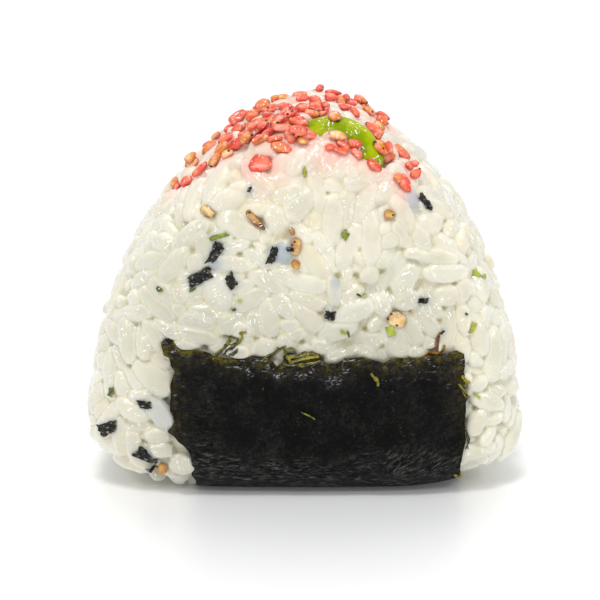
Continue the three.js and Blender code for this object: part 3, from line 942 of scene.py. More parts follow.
def riceMaterial():
    look = cookedRice
    material, tree, shader = newMaterial("cookedRice", look["shader"])
    patch = patches(tree, 55.0, 0.4, 0.6)
    facing = addNode(tree, "LayerWeight", {"Blend": 0.3}).outputs["Facing"]
    frontal = maths(tree, "SUBTRACT", 1.0, facing)
    tone, low, border = (read(tree, name) for name in ("tone", "low", "border"))
    # grains are clearer in the middle, paler near the border (a painted light rim) and yellow where two
    # meet (painted shade)
    beside = times(tree, spread(tree, border, 0.1, 0.25), spread(tree, border, 0.3, 0.8, 0.22, 0.0))
    line = times(tree, spread(tree, border, 0.0, 0.4, 0.65, 0.0), spread(tree, patch, 0, 1, 0.5, 1))
    color = layered(tree, look, look["warm"], [
        (patch, "cool"),
        (spread(tree, tone, -1.0, 1.0), "body"),
        (spread(tree, tone, 0.6, 2.2), "white"),
        (times(tree, patches(tree, 170.0, 0.46, 0.64), 0.7), "clear"),
        # painted shade, darker low down toward the strip
        (times(tree, low, 0.9), "low"),
        # painted rim light: paler where the surface turns away from the view
        (maths(tree, "MULTIPLY", facing, 1.1, True), "rim"),
        (times(tree, spread(tree, border, 0.6, 1.8), 0.35), "inner"),
        (times(tree, beside, frontal), "rim"),
        (times(tree, line, frontal), "crease"),
        # crease and gap are painted shade; pink, grey and tan are stains
        *((read(tree, name), name) for name in ("crease", "gap", "pink", "grey", "tan")),
        (patches(tree, 1300.0, 0.77, 0.79), "tan"),
    ])
    giveWetSkinAndPaintedGlints(tree, shader, color, look, frontal, times(tree, low, 0.4))
    return material


umeSesame = {
    "thickness": 1.0,
    "rings": 9, "around": 12,
    "sunk": 0.4,            # how deep a seed sits, as share of its thickness
    "topSunk": 0.4,         # how much deeper at the very top
    "topLine": (112, 98),   # between these heights in the view
    "bedSunk": 0.8,         # how deep the seeds under the others sit
    "bed": 2,               # how many of them lie under each seed
    "bedArea": (242, 306, 103, 137),    # in this part of the view
    "seed": 21,
    # place in the view, turn of the tip, length and width in pixels, hue from red 0
    # through coral, pink, peach and amber to cream 1, and how dark the tip is
    "seeds": [
        (177.9, 187.7, 80, 10, 6, 0.0, 0.6), (186.9, 181.4, 35, 14, 8, 0.35, 0),
        (200.7, 169.8, 38, 20, 6, 0.2, 0), (215.9, 160.9, 222, 16, 8, 0.75, 1),
        (193.6, 164.9, 230, 15, 10, 0.97, 1), (190.9, 158.2, 60, 13, 8, 0.95, 0),
        (174.8, 181.9, 60, 11, 6.5, 0.97, 0), (210.5, 147.5, 35, 16, 8.5, 0.72, 0),
        (225.7, 139.5, 218, 17, 8, 0.35, 1), (217.7, 137.7, 200, 10, 5, 0.8, 1),
        (222.6, 149.3, 50, 18, 10, 0.8, 0), (228.4, 155.5, 30, 13, 7, 0.95, 0),
        (236.4, 144.8, 205, 18, 10, 0.15, 1), (238.7, 130.6, 25, 14, 8, 0.3, 0),
        (245.4, 135, 40, 15, 9, 0.8, 0), (239.1, 118.9, 38, 20, 11, 0.25, 0),
        (251.6, 113.6, 40, 15, 9.5, 0.5, 0), (263.2, 105.5, 20, 16, 11, 0.65, 0.3),
        (275.7, 97.5, 50, 10, 6, 0.65, 0), (283.7, 98.8, 5, 13, 8, 0.8, 1),
        (287.3, 107.3, -40, 12, 10, 0.3, 0), (286.9, 111.8, 20, 12, 7, 0.35, 1),
        (266.8, 115.4, 60, 11, 8, 0.35, 0), (258.7, 122.5, 30, 18, 9, 0.6, 0),
        (276.6, 118, 230, 15, 10, 0.3, 1), (261.9, 130.1, 25, 19, 8, 0.08, 1),
        (252.5, 127.9, -10, 9, 7, 0.3, 0), (290, 116.3, 25, 16, 7.5, 0.2, 0),
        (295.4, 118.9, 20, 15, 8, 0.35, 0), (282, 128.8, -3, 21, 8.5, 0.5, 0),
        (296.3, 129.6, 10, 16, 9, 0.35, 0.5), (260.5, 140.4, 25, 17, 8, 0.9, 0),
        (257.9, 138.6, 30, 14, 5, 0.3, 0), (275.7, 140.4, 8, 15, 6, 0.35, 0),
        (282, 148.4, -15, 21, 10, 0.55, 0), (248, 143.9, 45, 8, 6, 0.35, 0),
        (259.6, 164.5, 205, 22, 18, 0.25, 0.3), (299.8, 96.2, 10, 15, 6.5, 0.6, 0),
        (302.9, 100.6, 8, 14, 6, 0.25, 0), (315.4, 101.5, -40, 13, 8, 0.3, 0),
        (303.8, 108.7, 20, 14, 8.5, 0.25, 0), (311.9, 115.8, -3, 16, 7, 0.6, 1),
        (314.1, 109.1, -30, 11, 6.5, 0.25, 0), (320.8, 110, 60, 10, 6, 0.2, 0),
        (323.9, 105.1, 0, 8, 6, 0.25, 0), (326.2, 111.8, 80, 12, 6, 0.38, 0),
        (323.9, 115.4, 10, 9, 5, 0.25, 0), (300.7, 124.3, 30, 14, 8, 0.35, 0),
        (299, 130.5, 15, 15, 8, 0.38, 1), (307.9, 136.8, 15, 16, 9, 0.28, 0),
        (302.5, 139.5, -10, 11, 6, 0.8, 0), (319.5, 91, 0, 8, 5, 0.2, 0),
        (332.9, 94.8, 20, 17, 6.5, 0.2, 0), (331.1, 99.7, 25, 13, 6.5, 0.2, 0),
        (340.9, 102, 70, 12, 11, 0.6, 0), (345.4, 96.6, -30, 8, 5.5, 0.3, 0),
        (350.3, 98.4, -50, 10, 5, 0.1, 0), (351.2, 104.2, 30, 10, 7.5, 0.15, 0),
        (344.5, 108.7, 0, 14, 5.5, 0.2, 0), (353.8, 113.6, 250, 11, 7, 0.28, 0.4),
        (365.5, 104.2, -25, 14, 7, 0.5, 0), (357, 101.5, -10, 9, 5, 0.3, 0),
        (369, 113.6, -35, 13, 8, 0.68, 0), (364.1, 108.2, -50, 9, 6, 0.6, 0),
        (383.3, 115.8, -40, 15, 7.5, 0.3, 1), (381.1, 122.5, -42, 14, 7.5, 0.35, 0.5),
        (378.4, 127, -35, 13, 6, 0.9, 0), (373, 130.5, 145, 21, 9, 0.5, 1),
        (376.2, 136.8, -50, 10, 6, 0.3, 0.6), (379.3, 147.5, 165, 17, 12, 0.75, 1),
        (387.8, 157.3, 20, 14, 9.5, 0.5, 0), (388, 147, -45, 12, 6, 0.35, 0),
        (399.8, 154.6, -42, 20, 8.5, 0.55, 0), (408.3, 167.1, -60, 9, 7, 0.3, 0),
        (414.1, 165.8, 20, 8, 6, 0.25, 0.5), (415.4, 174.3, 40, 12, 9, 0.3, 0),
        (397.1, 178.8, -60, 10, 8.5, 0.6, 0), (403.4, 184.1, -65, 19, 10, 0.15, 0),
        (373, 167.1, -40, 16, 7.5, 0.1, 0), (330.2, 147.9, 0, 10, 6.5, 0.35, 0),
        (342.2, 146.2, 145, 15, 7, 0.3, 1), (340, 151, -15, 15, 5.5, 0.2, 0),
        (353.8, 145.7, 0, 14, 9, 0.12, 0), (356, 153.7, -30, 13, 7.5, 0.35, 0.4),
        (334.6, 118.5, 285, 11, 12, 0.82, 1), (337.3, 136.8, -8, 19, 8.5, 1.0, -1),
    ],
    # the dark points of seeds, as places in the view
    "points": [
        (290, 98.6), (292.3, 110.9), (287.7, 114.1), (277.8, 122.5), (266.3, 120.6), (270.9, 127.5),
        (251.8, 135.1), (248, 141.5), (228.8, 150.9), (293.5, 134.6), (318.7, 116.4), (335.8, 122.5),
        (267.8, 107.2), (299.6, 113.3), (298.4, 136.3), (187.7, 170.4), (177.3, 190.4), (211.3, 166.3),
        (375.5, 142.1), (372, 147.9), (348.4, 100.2), (372.5, 111.8), (383.5, 148.4), (419.8, 168.9),
    ],
    "pointSize": (0.42, 0.36, 0.32),
    # strips of seeds behind the tip, as ends and spread in the plan and how many
    "drifts": [
        ((-16, 5), (-6, 8), 4.0, 26), ((-12, 0), (1, 3), 4.5, 40), ((2, 7), (13, 6), 4.0, 34),
        ((-8, 3), (8, 6), 4.0, 34), ((-6, 10), (8, 11), 3.0, 20),
    ],
    "driftSeed": 5,
}

toastedSesame = {
    "thickness": 1.15,
    "seeds": [
        (209.3, 210.6, -25, 16, 8.5, 0.78, 0.7), (255.9, 219.5, -48, 25, 8, 0.22, 1),
        (296.7, 246.3, 260, 17, 10.5, 0.8, 0.2), (296.7, 263.5, -60, 10, 8.5, 0.5, 0.3),
        (389.5, 213.8, -10, 11, 10, 0.62, 1), (397.2, 319.7, 160, 18, 16, 1.0, 0.1),
        (163.5, 467.0, 80, 10, 10, 0.48, 0), (293.5, 231, 100, 8, 4, 0.15, 0.8),
    ],
    "points": [
        (262.3, 226.8), (260.5, 224.0), (393.2, 215), (294.6, 242), (249.5, 212.6), (292.4, 245),
        (216, 213.5), (388, 319), (397, 325.5), (391.5, 314),
    ],
    # further seeds on the back, as x and z
    "behind": [(-17, 33), (9, 45), (21, 34), (-26, 12), (3, 36), (30, 9), (-6, 52)],
    "behindSize": (2.9, 1.6),
}


def seedShape(length, width, thickness, random):
    # a flat drop whose pointed end is at +x; also says how near the tip and the rim each point is, the
    # latter for its painted rim shade
    along, turn = beadAngles(umeSesame["rings"], umeSesame["around"])
    x = -np.cos(along)
    girth = np.sin(along) ** random.uniform(0.5, 0.66) * (1 - 0.3 * smooth(0.1, 1.0, x))
    phase = random.uniform(0, 2 * math.pi, 3)
    uneven = 1 + 0.06 * np.sin(3 * x + phase[0]) + 0.05 * np.sin(2 * turn + 2 * x + phase[1])
    flat = np.sign(np.sin(turn)) * np.abs(np.sin(turn)) ** 0.8
    across = girth * np.cos(turn) * width / 2 * uneven + 0.05 * length * np.sin(phase[2]) * x * x
    points = np.column_stack([x * length / 2, across, girth * flat * thickness / 2 * uneven])
    rim = smooth(0.62, 0.98, np.maximum(np.abs(np.cos(turn)) * girth, np.abs(x) * 0.98))
    stripe = 0.14 * np.sin(3 * turn + phase[0]) * girth + 0.12 * np.sin(2.5 * x + phase[1])
    return points, smooth(0.8, 0.97, x), rim, stripe


class Ground:
    # what lies on the onigiri so far, which the next small thing comes to rest on
    def __init__(self, trees):
        self.trees = list(trees)
        self.points, self.faces, self.own = [], [], []

    def hit(self, start, way):
        found = [tree.ray_cast(Vector(start), Vector(way)) for tree in self.trees + self.own]
        found = [hit for hit in found if hit[0] is not None]
        if not found:
            return None
        place, normal, _, _ = min(found, key=lambda hit: hit[3])
        return np.array(place), np.array(normal)

    def seen(self, px, py):
        # looks nearer the middle where a place is just outside the outline
        way = unit(np.array([305.0 - px, 300.0 - py]))
        for step in range(40):
            found = self.hit(eye, sightLine(*(np.array([px, py]) + way * step)))
            if found:
                return found

    def behind(self, x, z):
        return self.hit((x, 60.0, z), (0, -1, 0))

    def below(self, px, py):
        # the place on what lies under all the small things
        found = [tree.ray_cast(Vector(eye), Vector(sightLine(px, py)))[0] for tree in self.trees]
        found = [np.array(place) for place in found if place is not None]
        return min(found, key=lambda place: np.linalg.norm(place - eye)) if found else None

    def add(self, points, faces):
        shift = sum(len(block) for block in self.points)
        self.points.append(points)
        self.faces += [tuple(index + shift for index in face) for face in faces]
        self.own = [BVHTree.FromPolygons(np.vstack(self.points).tolist(), self.faces)]


def beanMesh():
    along, turn = beadAngles(bean["rings"], bean["around"])
    x = -np.cos(along)
    girth = np.sin(along) ** bean["fullness"]
    local = np.column_stack([
        x * bean["length"] / 2,
        girth * np.cos(turn) * bean["width"] / 2,
        girth * np.sin(turn) * bean["depth"] / 2,
    ])
    local[:, 2] += bean["upUneven"] * bumps(local, 2.6, 3) * girth
    local[:, 1] += bean["sideUneven"] * bumps(local, 3.4, 4) * girth
    seam = np.exp(-((local[:, 1] + 0.4) / 0.35) ** 2) * (local[:, 2] > 0) * smooth(0.95, 0.5, np.abs(x))
    local[:, 2] -= bean["seam"] * seam
    return beanPoints(local), beadFaces(bean["rings"], bean["around"]), x


beanSkin, beanFaces, beanAlong = beanMesh()
beanTree = BVHTree.FromPolygons(beanSkin.tolist(), beanFaces)
ground = Ground([riceTree, beanTree])
drops = beadFaces(umeSesame["rings"], umeSesame["around"])


def shownShare(way):
    # how much of a length along this way the view shows
    return math.sqrt(max(1 - float(way @ sightAhead) ** 2, 0.01))


def restOn(place, heading, length, width):
    # the level of the ground under a seed, and the way its top faces once it lies there
    out = outwards(place)
    along = lyingOn(out, heading)
    across = np.cross(out, along)
    levels = []
    for side in (along * length, -along * length, across * width, -across * width):
        found = ground.hit(place + side * 0.36 + out * 3, -out)
        levels.append(np.clip((found[0] - place) @ out, -0.7, 0.7) if found else -0.4)
    slopeAlong = (levels[0] - levels[1]) / (0.72 * length)
    slopeAcross = (levels[2] - levels[3]) / (0.72 * width)
    up = unit(out - 0.8 * along * slopeAlong - 0.8 * across * slopeAcross)
    return max(sum(levels) / 4, -0.3), up


def laySeed(blocks, place, heading, size, random, look, lean=0.0, seenFull=False):
    # one seed on the ground at a place, tilted with what it lies on
    length, width, thickness = size
    level, up = restOn(place, heading, length, width)
    place = place + outwards(place) * level
    up = unit(up - sightAhead * lean)
    along = lyingOn(up, heading)
    across = np.cross(up, along)
    roll = random.normal() * 0.15
    side = across * math.cos(roll) + up * math.sin(roll)
    if seenFull:
        length *= min(1 / shownShare(along), 1.3)
        width *= min(1 / shownShare(side), 1.5)
    shape = seedShape(length, width, thickness, random)
    keepSeed(blocks, place + up * thickness * 0.5, (along, side, np.cross(along, side)), shape, look)


def keepSeed(blocks, middle, axes, shape, look):
    # look gives how dark the tip is and the hue, from how near the tip and how striped a place is
    local, tip, rim, stripe = shape
    points = middle + local[:, :1] * axes[0] + local[:, 1:2] * axes[1] + local[:, 2:] * axes[2]
    ground.add(points, drops)
    dark, hue = look(tip, stripe)
    for key, values in zip(("points", "tip", "rim", "hue"), (points, dark, rim, hue)):
        blocks[key].append(values)


def seedPile(blocks, rows, thickness, random, lean, sunk=umeSesame["sunk"]):
    for px, py, turn, length, width, hue, dark in rows:
        place, _ = ground.seen(px, py)
        deep = sunk + umeSesame["topSunk"] * float(smooth(*umeSesame["topLine"], py))
        size = length / view["scale"], width / view["scale"], thickness
        laySeed(
            blocks, place - outwards(place) * thickness * deep, viewHeading(turn), size, random,
            lambda tip, stripe: (tip * max(dark, 0), hue + stripe - tip * 0.7 * (dark < 0)), lean, True,
        )


def bedRows(random):
    # seeds under those that show, a little off to one side
    left, right, top, bottom = umeSesame["bedArea"]
    rows = []
    for px, py, *_ in umeSesame["seeds"]:
        if left < px < right and top < py < bottom:
            for _ in range(umeSesame["bed"]):
                x, y = min(px + random.normal() * 5, right - 3), py + random.uniform(0, 6)
                rows.append((x, y, random.uniform(-40, 60), 15, 8, random.uniform(0, 0.6), 0))
    return rows


def driftSeeds(blocks, random):
    # seeds that fall from above behind the tip, kept where the front doesn't see them
    draw = chance(umeSesame["driftSeed"])
    for (x0, y0), (x1, y1), reachOf, count in umeSesame["drifts"]:
        span = math.hypot(x1 - x0, y1 - y0)
        for _ in range(count):
            share, off = draw(), (draw() + draw() - 1) * reachOf
            x = x0 + share * (x1 - x0) - off * (y1 - y0) / span
            y = y0 + share * (y1 - y0) + off * (x1 - x0) / span
            turn, hue = draw() * 2 * math.pi, draw()
            place, _ = ground.hit((x, y, 90.0), (0, 0, -1))
            heading = np.array([math.cos(turn), math.sin(turn), 0])
            size = 2.3 + 0.9 * draw(), 1.2 + 0.5 * draw(), umeSesame["thickness"]
            top = place + (0, 0, 0.9)
            if ground.hit(top, unit(eye - top)):
                laySeed(
                    blocks, place, heading, size, random,
                    lambda tip, stripe: (tip * (hue > 0.5), hue * 0.75 + stripe),
                )


def addPoints(blocks, spots, random):
    # the dark point of a seed, wherever one lies at that place in the view
    for px, py in spots:
        place, normal = ground.seen(px, py)
        bare = ground.below(px, py)
        if bare is None or np.linalg.norm(bare - place) >= 0.15:
            out = normal * (1 if normal @ outwards(place) > 0 else -1)
            along = lyingOn(out, sightRight)
            shape = seedShape(*umeSesame["pointSize"], random)
            keepSeed(
                blocks, place, (along, np.cross(out, along), out), shape,
                lambda tip, stripe: (0 * tip + 1, 0 * tip),
            )


def newBlocks():
    return {"points": [], "tip": [], "rim": [], "hue": []}


random = np.random.RandomState(umeSesame["seed"])
umeBlocks, toastedBlocks = newBlocks(), newBlocks()
seedPile(umeBlocks, bedRows(random), umeSesame["thickness"], random, 0.3, umeSesame["bedSunk"])
seedPile(umeBlocks, umeSesame["seeds"], umeSesame["thickness"], random, 0.5)
addPoints(umeBlocks, umeSesame["points"], random)
driftSeeds(umeBlocks, random)
seedPile(toastedBlocks, toastedSesame["seeds"], toastedSesame["thickness"], random, 0.2)
addPoints(toastedBlocks, toastedSesame["points"], random)
for x, z in toastedSesame["behind"]:
    turn = random.uniform(0, 2 * math.pi)
    laySeed(
        toastedBlocks, ground.behind(x, z)[0], np.array([math.cos(turn), 0, math.sin(turn)]),
        (*toastedSesame["behindSize"], toastedSesame["thickness"]), random,
        lambda tip, stripe: (tip * random.uniform(), random.uniform(0.2, 0.9) + stripe),
    )

umeLook = {
    "hues": [
        (0.0, (0.72, 0.048, 0.030)), (0.2, (0.86, 0.115, 0.065)), (0.4, (0.92, 0.20, 0.12)),
        (0.6, (0.90, 0.26, 0.065)), (0.8, (0.66, 0.25, 0.028)), (1.0, (0.90, 0.62, 0.27)),
    ],
    # rim is painted shade, deeper red toward the seed's sloping rim; pale is a painted highlight in streaks
    "tip": (0.03, 0.010, 0.006), "rim": (0.60, 0.035, 0.015), "paintedRimShadeShare": 0.65,
    "pale": (1.0, 0.50, 0.38), "paintedHighlightShare": 0.6,
    "amber": (0.72, 0.18, 0.010), "amberShare": 0.45,
    "coatRoughness": 0.06,
}

toastedLook = {
    "hues": [
        (0.0, (0.22, 0.07, 0.010)), (0.2, (0.36, 0.14, 0.018)), (0.4, (0.52, 0.24, 0.04)),
        (0.6, (0.64, 0.35, 0.085)), (0.8, (0.74, 0.47, 0.16)), (1.0, (0.87, 0.69, 0.39)),
    ],
    # rim is painted shade, darker toward the seed's sloping rim; pale is a painted highlight in streaks
    "tip": (0.035, 0.012, 0.005), "rim": (0.26, 0.09, 0.012), "paintedRimShadeShare": 0.6,
    "pale": (0.92, 0.70, 0.36), "paintedHighlightShare": 0.35,
    "amber": (0.44, 0.19, 0.025), "amberShare": 0.5,
    "coatRoughness": 0.1,
}

seedSkin = {
    "skin": {
        "Coarse": 1000.0, "Fine": 2600.0, "Patch": 500.0, "Smoothest": 0.15, "Dullest": 0.45,
        "Gloss": 0.15, "PaintedGlintScale": 2600.0, "PaintedGlintThreshold": 0.655,
    },
    "bump": (0.6, 0.0005),
    "shader": {"Subsurface Weight": 0.35, "Subsurface Radius": (1.0, 0.5, 0.3), "Subsurface Scale": 0.0004},
}


def seedMaterial(name, look):
    material, tree, shader = newMaterial(name, seedSkin["shader"])
    feed(tree, shader, {"Coat Roughness": look["coatRoughness"]})
    ramp = addNode(tree, "ValToRGB", {0: read(tree, "hue")})
    elements = ramp.color_ramp.elements
    while len(elements) < len(look["hues"]):
        elements.new(0.5)
    for element, (position, color) in zip(elements, look["hues"]):
        element.position = position
        element.color = (*color, 1)
    # painted highlight in pale streaks and painted shade toward the rim; the amber patches and dark tips
    # are the seeds' own colour
    paintedStreak = spread(tree, noiseOf(tree, objectPlace(tree, (0.6, 1.0, 1.2)), 950.0), 0.5, 0.62)
    color = layered(tree, look, ramp.outputs[0], [
        (times(tree, paintedStreak, look["paintedHighlightShare"]), "pale"),
        (times(tree, patches(tree, 520.0, 0.52, 0.66), look["amberShare"]), "amber"),
        (times(tree, read(tree, "rim"), look["paintedRimShadeShare"]), "rim"),
        (read(tree, "tip"), "tip"),
    ])
    giveWetSkinAndPaintedGlints(tree, shader, color, seedSkin)
    return material


def addSeeds(name, blocks, look):
    faces = beadFaces(umeSesame["rings"], umeSesame["around"], len(blocks["points"]))
    attributes = {key: np.concatenate(blocks[key]) for key in ("tip", "rim", "hue")}
    addPiece(name, np.vstack(blocks["points"]), faces, "rice", seedMaterial(name, look), attributes)


addSeeds("umeSesame", umeBlocks, umeLook)
addSeeds("toastedSesame", toastedBlocks, toastedLook)
print("stage: sesame laid")

noriFlakes = {
    "thickness": 0.14,
    "columns": 18, "rows": 12,
    "lift": 0.12,           # above what the scrap lies on
    "folds": 0.24,          # height of its creases
    "rough": 0.05,          # height of its grain
    "still": 6,             # how stiff it is, as rounds of bridging small dips
    "seed": 31,
    # place in the view, turn, length and width in pixels
    "flakes": [
        (216.3, 250.2, 62, 25, 12), (201, 277.6, 31, 29, 11), (231.6, 281.5, -62, 17, 11),
        (272.4, 254, 75, 18, 7), (425.2, 202, -62, 19, 8), (249.8, 189.5, 70, 6, 3), (422, 300.5, 0, 11, 6),
        (329.6, 314.6, -10, 12, 9), (290.3, 248.5, 0, 7, 4), (109.5, 427.5, 22, 20, 11),
        (146.5, 403.5, -5, 15, 8), (145.5, 455.5, -50, 24, 12), (155, 465.5, -25, 12, 4),
        (442, 332.3, 45, 5, 2.5),
    ],
    # x, z and length of those on the back
    "behind": [(-12, 41, 4.2), (6, 33, 3.0), (19, 46, 3.4), (-28, 20, 3.0), (27, 14, 3.8)],
}

greenFlecks = {
    "thickness": 0.14,
    "columns": 8, "rows": 6,
    "lift": 0.1, "folds": 0.2, "rough": 0.08, "still": 1,
    "seed": 37,
    # place in the view, turn, length and width in pixels, darkness
    "flecks": [
        (344.9, 234.8, 60, 9, 5.5, 0.3), (475, 274.4, -65, 9, 3.5, 0.0), (483.3, 276.3, 10, 7, 3.5, 0.0),
        (471.1, 329.2, 60, 12, 4.5, 0.15), (219.5, 236, 20, 16, 4, 0.25), (159.6, 289, -40, 7, 4, 0.5),
        (240, 300.5, 0, 4, 3, 0.0), (234.2, 309.5, 20, 5, 3.5, 0.5), (390, 330.5, -70, 9, 8, 0.0),
        (348.7, 334.3, -80, 11, 3, 0.6), (343, 332, -40, 6, 3, 0.2), (304.5, 171.5, -85, 9, 3, 0.1),
        (112.5, 392, 65, 10, 4.5, 0.35), (111, 394, 20, 6, 3, 0.5), (358.9, 294.8, -35, 7, 2, 0.7),
        (466, 314, -30, 4, 2.5, 0.9), (476, 394.5, -30, 8, 3.5, 0.05), (192.5, 289, 15, 6, 4, 0.7),
        (459, 476, 10, 7, 3.5, 0.2), (437, 341, 85, 16, 3.5, 1.0), (434, 349, 30, 10, 3, 1.0),
    ],
    "behind": 14,
    "behindSize": (1.4, 0.7),
}


def scrap(place, heading, length, width, style, random):
    # a torn, creased scrap of sheet that drapes over the ground; also how near its rim each point is
    out = outwards(place)
    along = lyingOn(out, heading)
    across = np.cross(out, along)
    columns, rows = style["columns"], style["rows"]
    u, v = np.meshgrid(np.linspace(-1, 1, columns + 1), np.linspace(-1, 1, rows + 1), indexing="ij")
    angle = np.arctan2(v, u)
    phase = random.uniform(0, 2 * math.pi, 4)
    ragged = 0.95 + 0.06 * np.sin(5 * angle + phase[0]) + 0.07 * np.sin(11 * angle + phase[1])
    # four uneven corners
    pulls = random.uniform(-0.4, 0.35, (2, 2, 2))
    sides = [(1 - u) / 2, (1 + u) / 2], [(1 - v) / 2, (1 + v) / 2]
    pull = sum(pulls[i, j][:, None, None] * sides[0][i] * sides[1][j] for i in (0, 1) for j in (0, 1))
    x, y = u * (ragged + pull[0]) * length / 2, v * (ragged + pull[1]) * width / 2
    flat = place + x[..., None] * along + y[..., None] * across
    folds = np.abs(np.sin(x * 1.7 + y * 2.6 + phase[3]))
    folds += 0.6 * np.abs(np.sin(x * 3.1 - y * 2.2 + phase[2]))
    crease = style["folds"] * folds + style["rough"] * bumps(flat, 0.8, 5)
    level = np.empty(u.shape)
    for index in np.ndindex(u.shape):
        found = ground.hit(flat[index] + out * 6, -out)
        level[index] = np.clip((found[0] - flat[index]) @ out, -1.3, 1.2) if found else 0.0
    for _ in range(style["still"]):
        wider = np.pad(level, 1, mode="edge")
        near = (wider[:-2, 1:-1] + wider[2:, 1:-1] + wider[1:-1, :-2] + wider[1:-1, 2:]) / 4
        level = np.maximum(level - 0.1, near)
    top = flat + out * (level + style["lift"] + np.maximum(crease, 0))[..., None]
    points = np.vstack([top.reshape(-1, 3), (top - out * style["thickness"]).reshape(-1, 3)])
    edge = smooth(0.6, 1.0, np.maximum(np.abs(u), np.abs(v)))
    # how near the rim each point is, and painted shine on the crests of the folds
    masks = np.tile([edge.ravel(), smooth(1.15, 1.55, folds).ravel()], 2)
    return points, slabFaces(columns, rows, True), masks


def gather(parts):
    # joins parts into one mesh, with each point's edge, painted shine and shade
    points, faces, values = [], [], []
    shift = 0
    for (block, blockFaces, masks), shade in parts:
        points.append(block)
        faces += [tuple(int(i) + shift for i in face) for face in blockFaces]
        values.append([*masks, np.zeros(len(block)) + shade])
        shift += len(block)
    return np.vstack(points), faces, np.concatenate(values, axis=1)


def shownScraps(rows, style, random):
    # the scraps that show: place in the view, turn, length, width and sometimes darkness
    parts = []
    for px, py, turn, length, width, *shade in rows:
        size = length / view["scale"], width / view["scale"]
        part = scrap(ground.seen(px, py)[0], viewHeading(turn), *size, style, random)
        parts.append((part, sum(shade)))
    return parts


def flakeParts():
    random = np.random.RandomState(noriFlakes["seed"])
    parts = shownScraps(noriFlakes["flakes"], noriFlakes, random)
    for x, z, length in noriFlakes["behind"]:
        place, heading = ground.behind(x, z)[0], np.array([1, 0, random.normal()])
        parts.append((scrap(place, heading, length, length * 0.5, noriFlakes, random), 0))
    return parts


def fleckParts():
    random = np.random.RandomState(greenFlecks["seed"])
    parts = shownScraps(greenFlecks["flecks"], greenFlecks, random)
    for _ in range(greenFlecks["behind"]):
        found = ground.behind(random.uniform(-22, 22), random.uniform(27, 50))
        if found:
            heading = np.array([random.normal(), 0, random.normal()])
            part = scrap(found[0], heading, *greenFlecks["behindSize"], greenFlecks, random)
            parts.append((part, random.uniform(0, 0.6)))
    return parts


seaweed = {
    # satin is a painted sheen and shine painted glints; the other colours are the sheet's own
    "dark": (0.0009, 0.0010, 0.0009), "light": (0.0135, 0.0132, 0.0122), "paintedSheen": (0.095, 0.095, 0.091),
    "paintedShine": (0.36, 0.38, 0.43), "brown": (0.040, 0.028, 0.0018), "olive": (0.095, 0.077, 0.003),
    "speck": (0.12, 0.10, 0.02),
    "bump": (0.6, 0.0003),
    "sheetSpecular": 0.09, "flakeSpecular": 0.25,
}


def seaweedMaterial(name, specular):
    look = seaweed
    material, tree, shader = newMaterial(name, {"Coat Roughness": 0.1, "Specular IOR Level": specular})
    place = objectPlace(tree)
    fibre = noiseOf(tree, place, 1100.0, 5.0, 0.65, 1.6)
    tone = maths(tree, "ADD", fibre, times(tree, noiseOf(tree, place, 260.0, 3.0), 0.5))
    places = (objectPlace(tree, (0.26, 0.7, 1.0), turn) for turn in (0, 38))
    lying, leaning = (noiseOf(tree, drawn, 2900.0, 4.0, 0.6, 0.7) for drawn in places)
    threads = mixValues(tree, read(tree, "lean"), lying, leaning)
    # painted satin sheen along the fine threads
    paintedSheen = times(tree, read(tree, "paintedSheen"), spread(tree, threads, 0.45, 0.68))
    flecks = spread(tree, noiseOf(tree, objectPlace(tree, (0.6, 1, 1.3), -20), 2800.0), 0.58, 0.66)
    fine = spread(tree, noiseOf(tree, objectPlace(tree, (0.5, 1, 1.4), 8), 3600.0, 3.0), 0.54, 0.6)
    torn = patches(tree, 1500.0, 0.42, 0.62)
    wet = read(tree, "wet")
    olive = times(tree, patches(tree, 420.0, 0.56, 0.7), flecks, 0.3)
    ragged = times(tree, patches(tree, 600.0, 0.42, 0.6), maths(tree, "ADD", torn, 0.5))
    edge = maths(tree, "MULTIPLY", read(tree, "edge"), ragged, True)
    # the sheen and the bluish shine are painted light; the other colours are the sheet's own
    color = layered(tree, look, look["dark"], [
        (spread(tree, tone, 0.68, 1.02), "light"),
        (paintedSheen, "paintedSheen"),
        (times(tree, patches(tree, 1700.0, 0.7, 0.76), 0.5), "speck"),
        (times(tree, torn, wet, 0.7), "brown"),
        (maths(tree, "ADD", olive, edge, True), "olive"),
        (times(tree, read(tree, "paintedShine"), fine), "paintedShine"),
    ])
    feed(tree, shader, {
        "Base Color": color,
        "Roughness": spread(tree, wet, 0, 1, 0.6, 0.2),
        "Coat Weight": times(tree, wet, 0.12),
        "Normal": bumpOf(tree, maths(tree, "ADD", tone, paintedSheen), *look["bump"]),
    })
    return material


herb = {
    "pale": (0.40, 0.47, 0.035), "deep": (0.03, 0.06, 0.006), "brown": (0.10, 0.028, 0.004),
    "skin": {
        "Coarse": 900.0, "Fine": 2600.0, "Patch": 600.0, "Smoothest": 0.2, "Dullest": 0.5, "PaintedGlintThreshold": 0.7,
    },
    "bump": (0.5, 0.0001),
    "shader": {"Subsurface Weight": 0.2, "Subsurface Scale": 0.0003},
}
shred = {**herb, "pale": (0.34, 0.30, 0.006), "deep": (0.012, 0.011, 0.002), "brown": (0.27, 0.12, 0.004)}


def herbMaterial(name, look):
    material, tree, shader = newMaterial(name, look["shader"])
    shade = read(tree, "shade")
    level = maths(tree, "ADD", shade, times(tree, patches(tree, 900.0, 0.35, 0.65), 0.35))
    color = layered(tree, look, look["pale"], [
        (spread(tree, level, 0.0, 0.9), "deep"), (spread(tree, shade, 0.85, 1.0), "brown"),
    ])
    giveWetSkinAndPaintedGlints(tree, shader, color, look)
    return material


flakePoints, faces, (edge, paintedShine, _) = gather(flakeParts())
flakeMaterial = seaweedMaterial("noriFlakes", seaweed["flakeSpecular"])
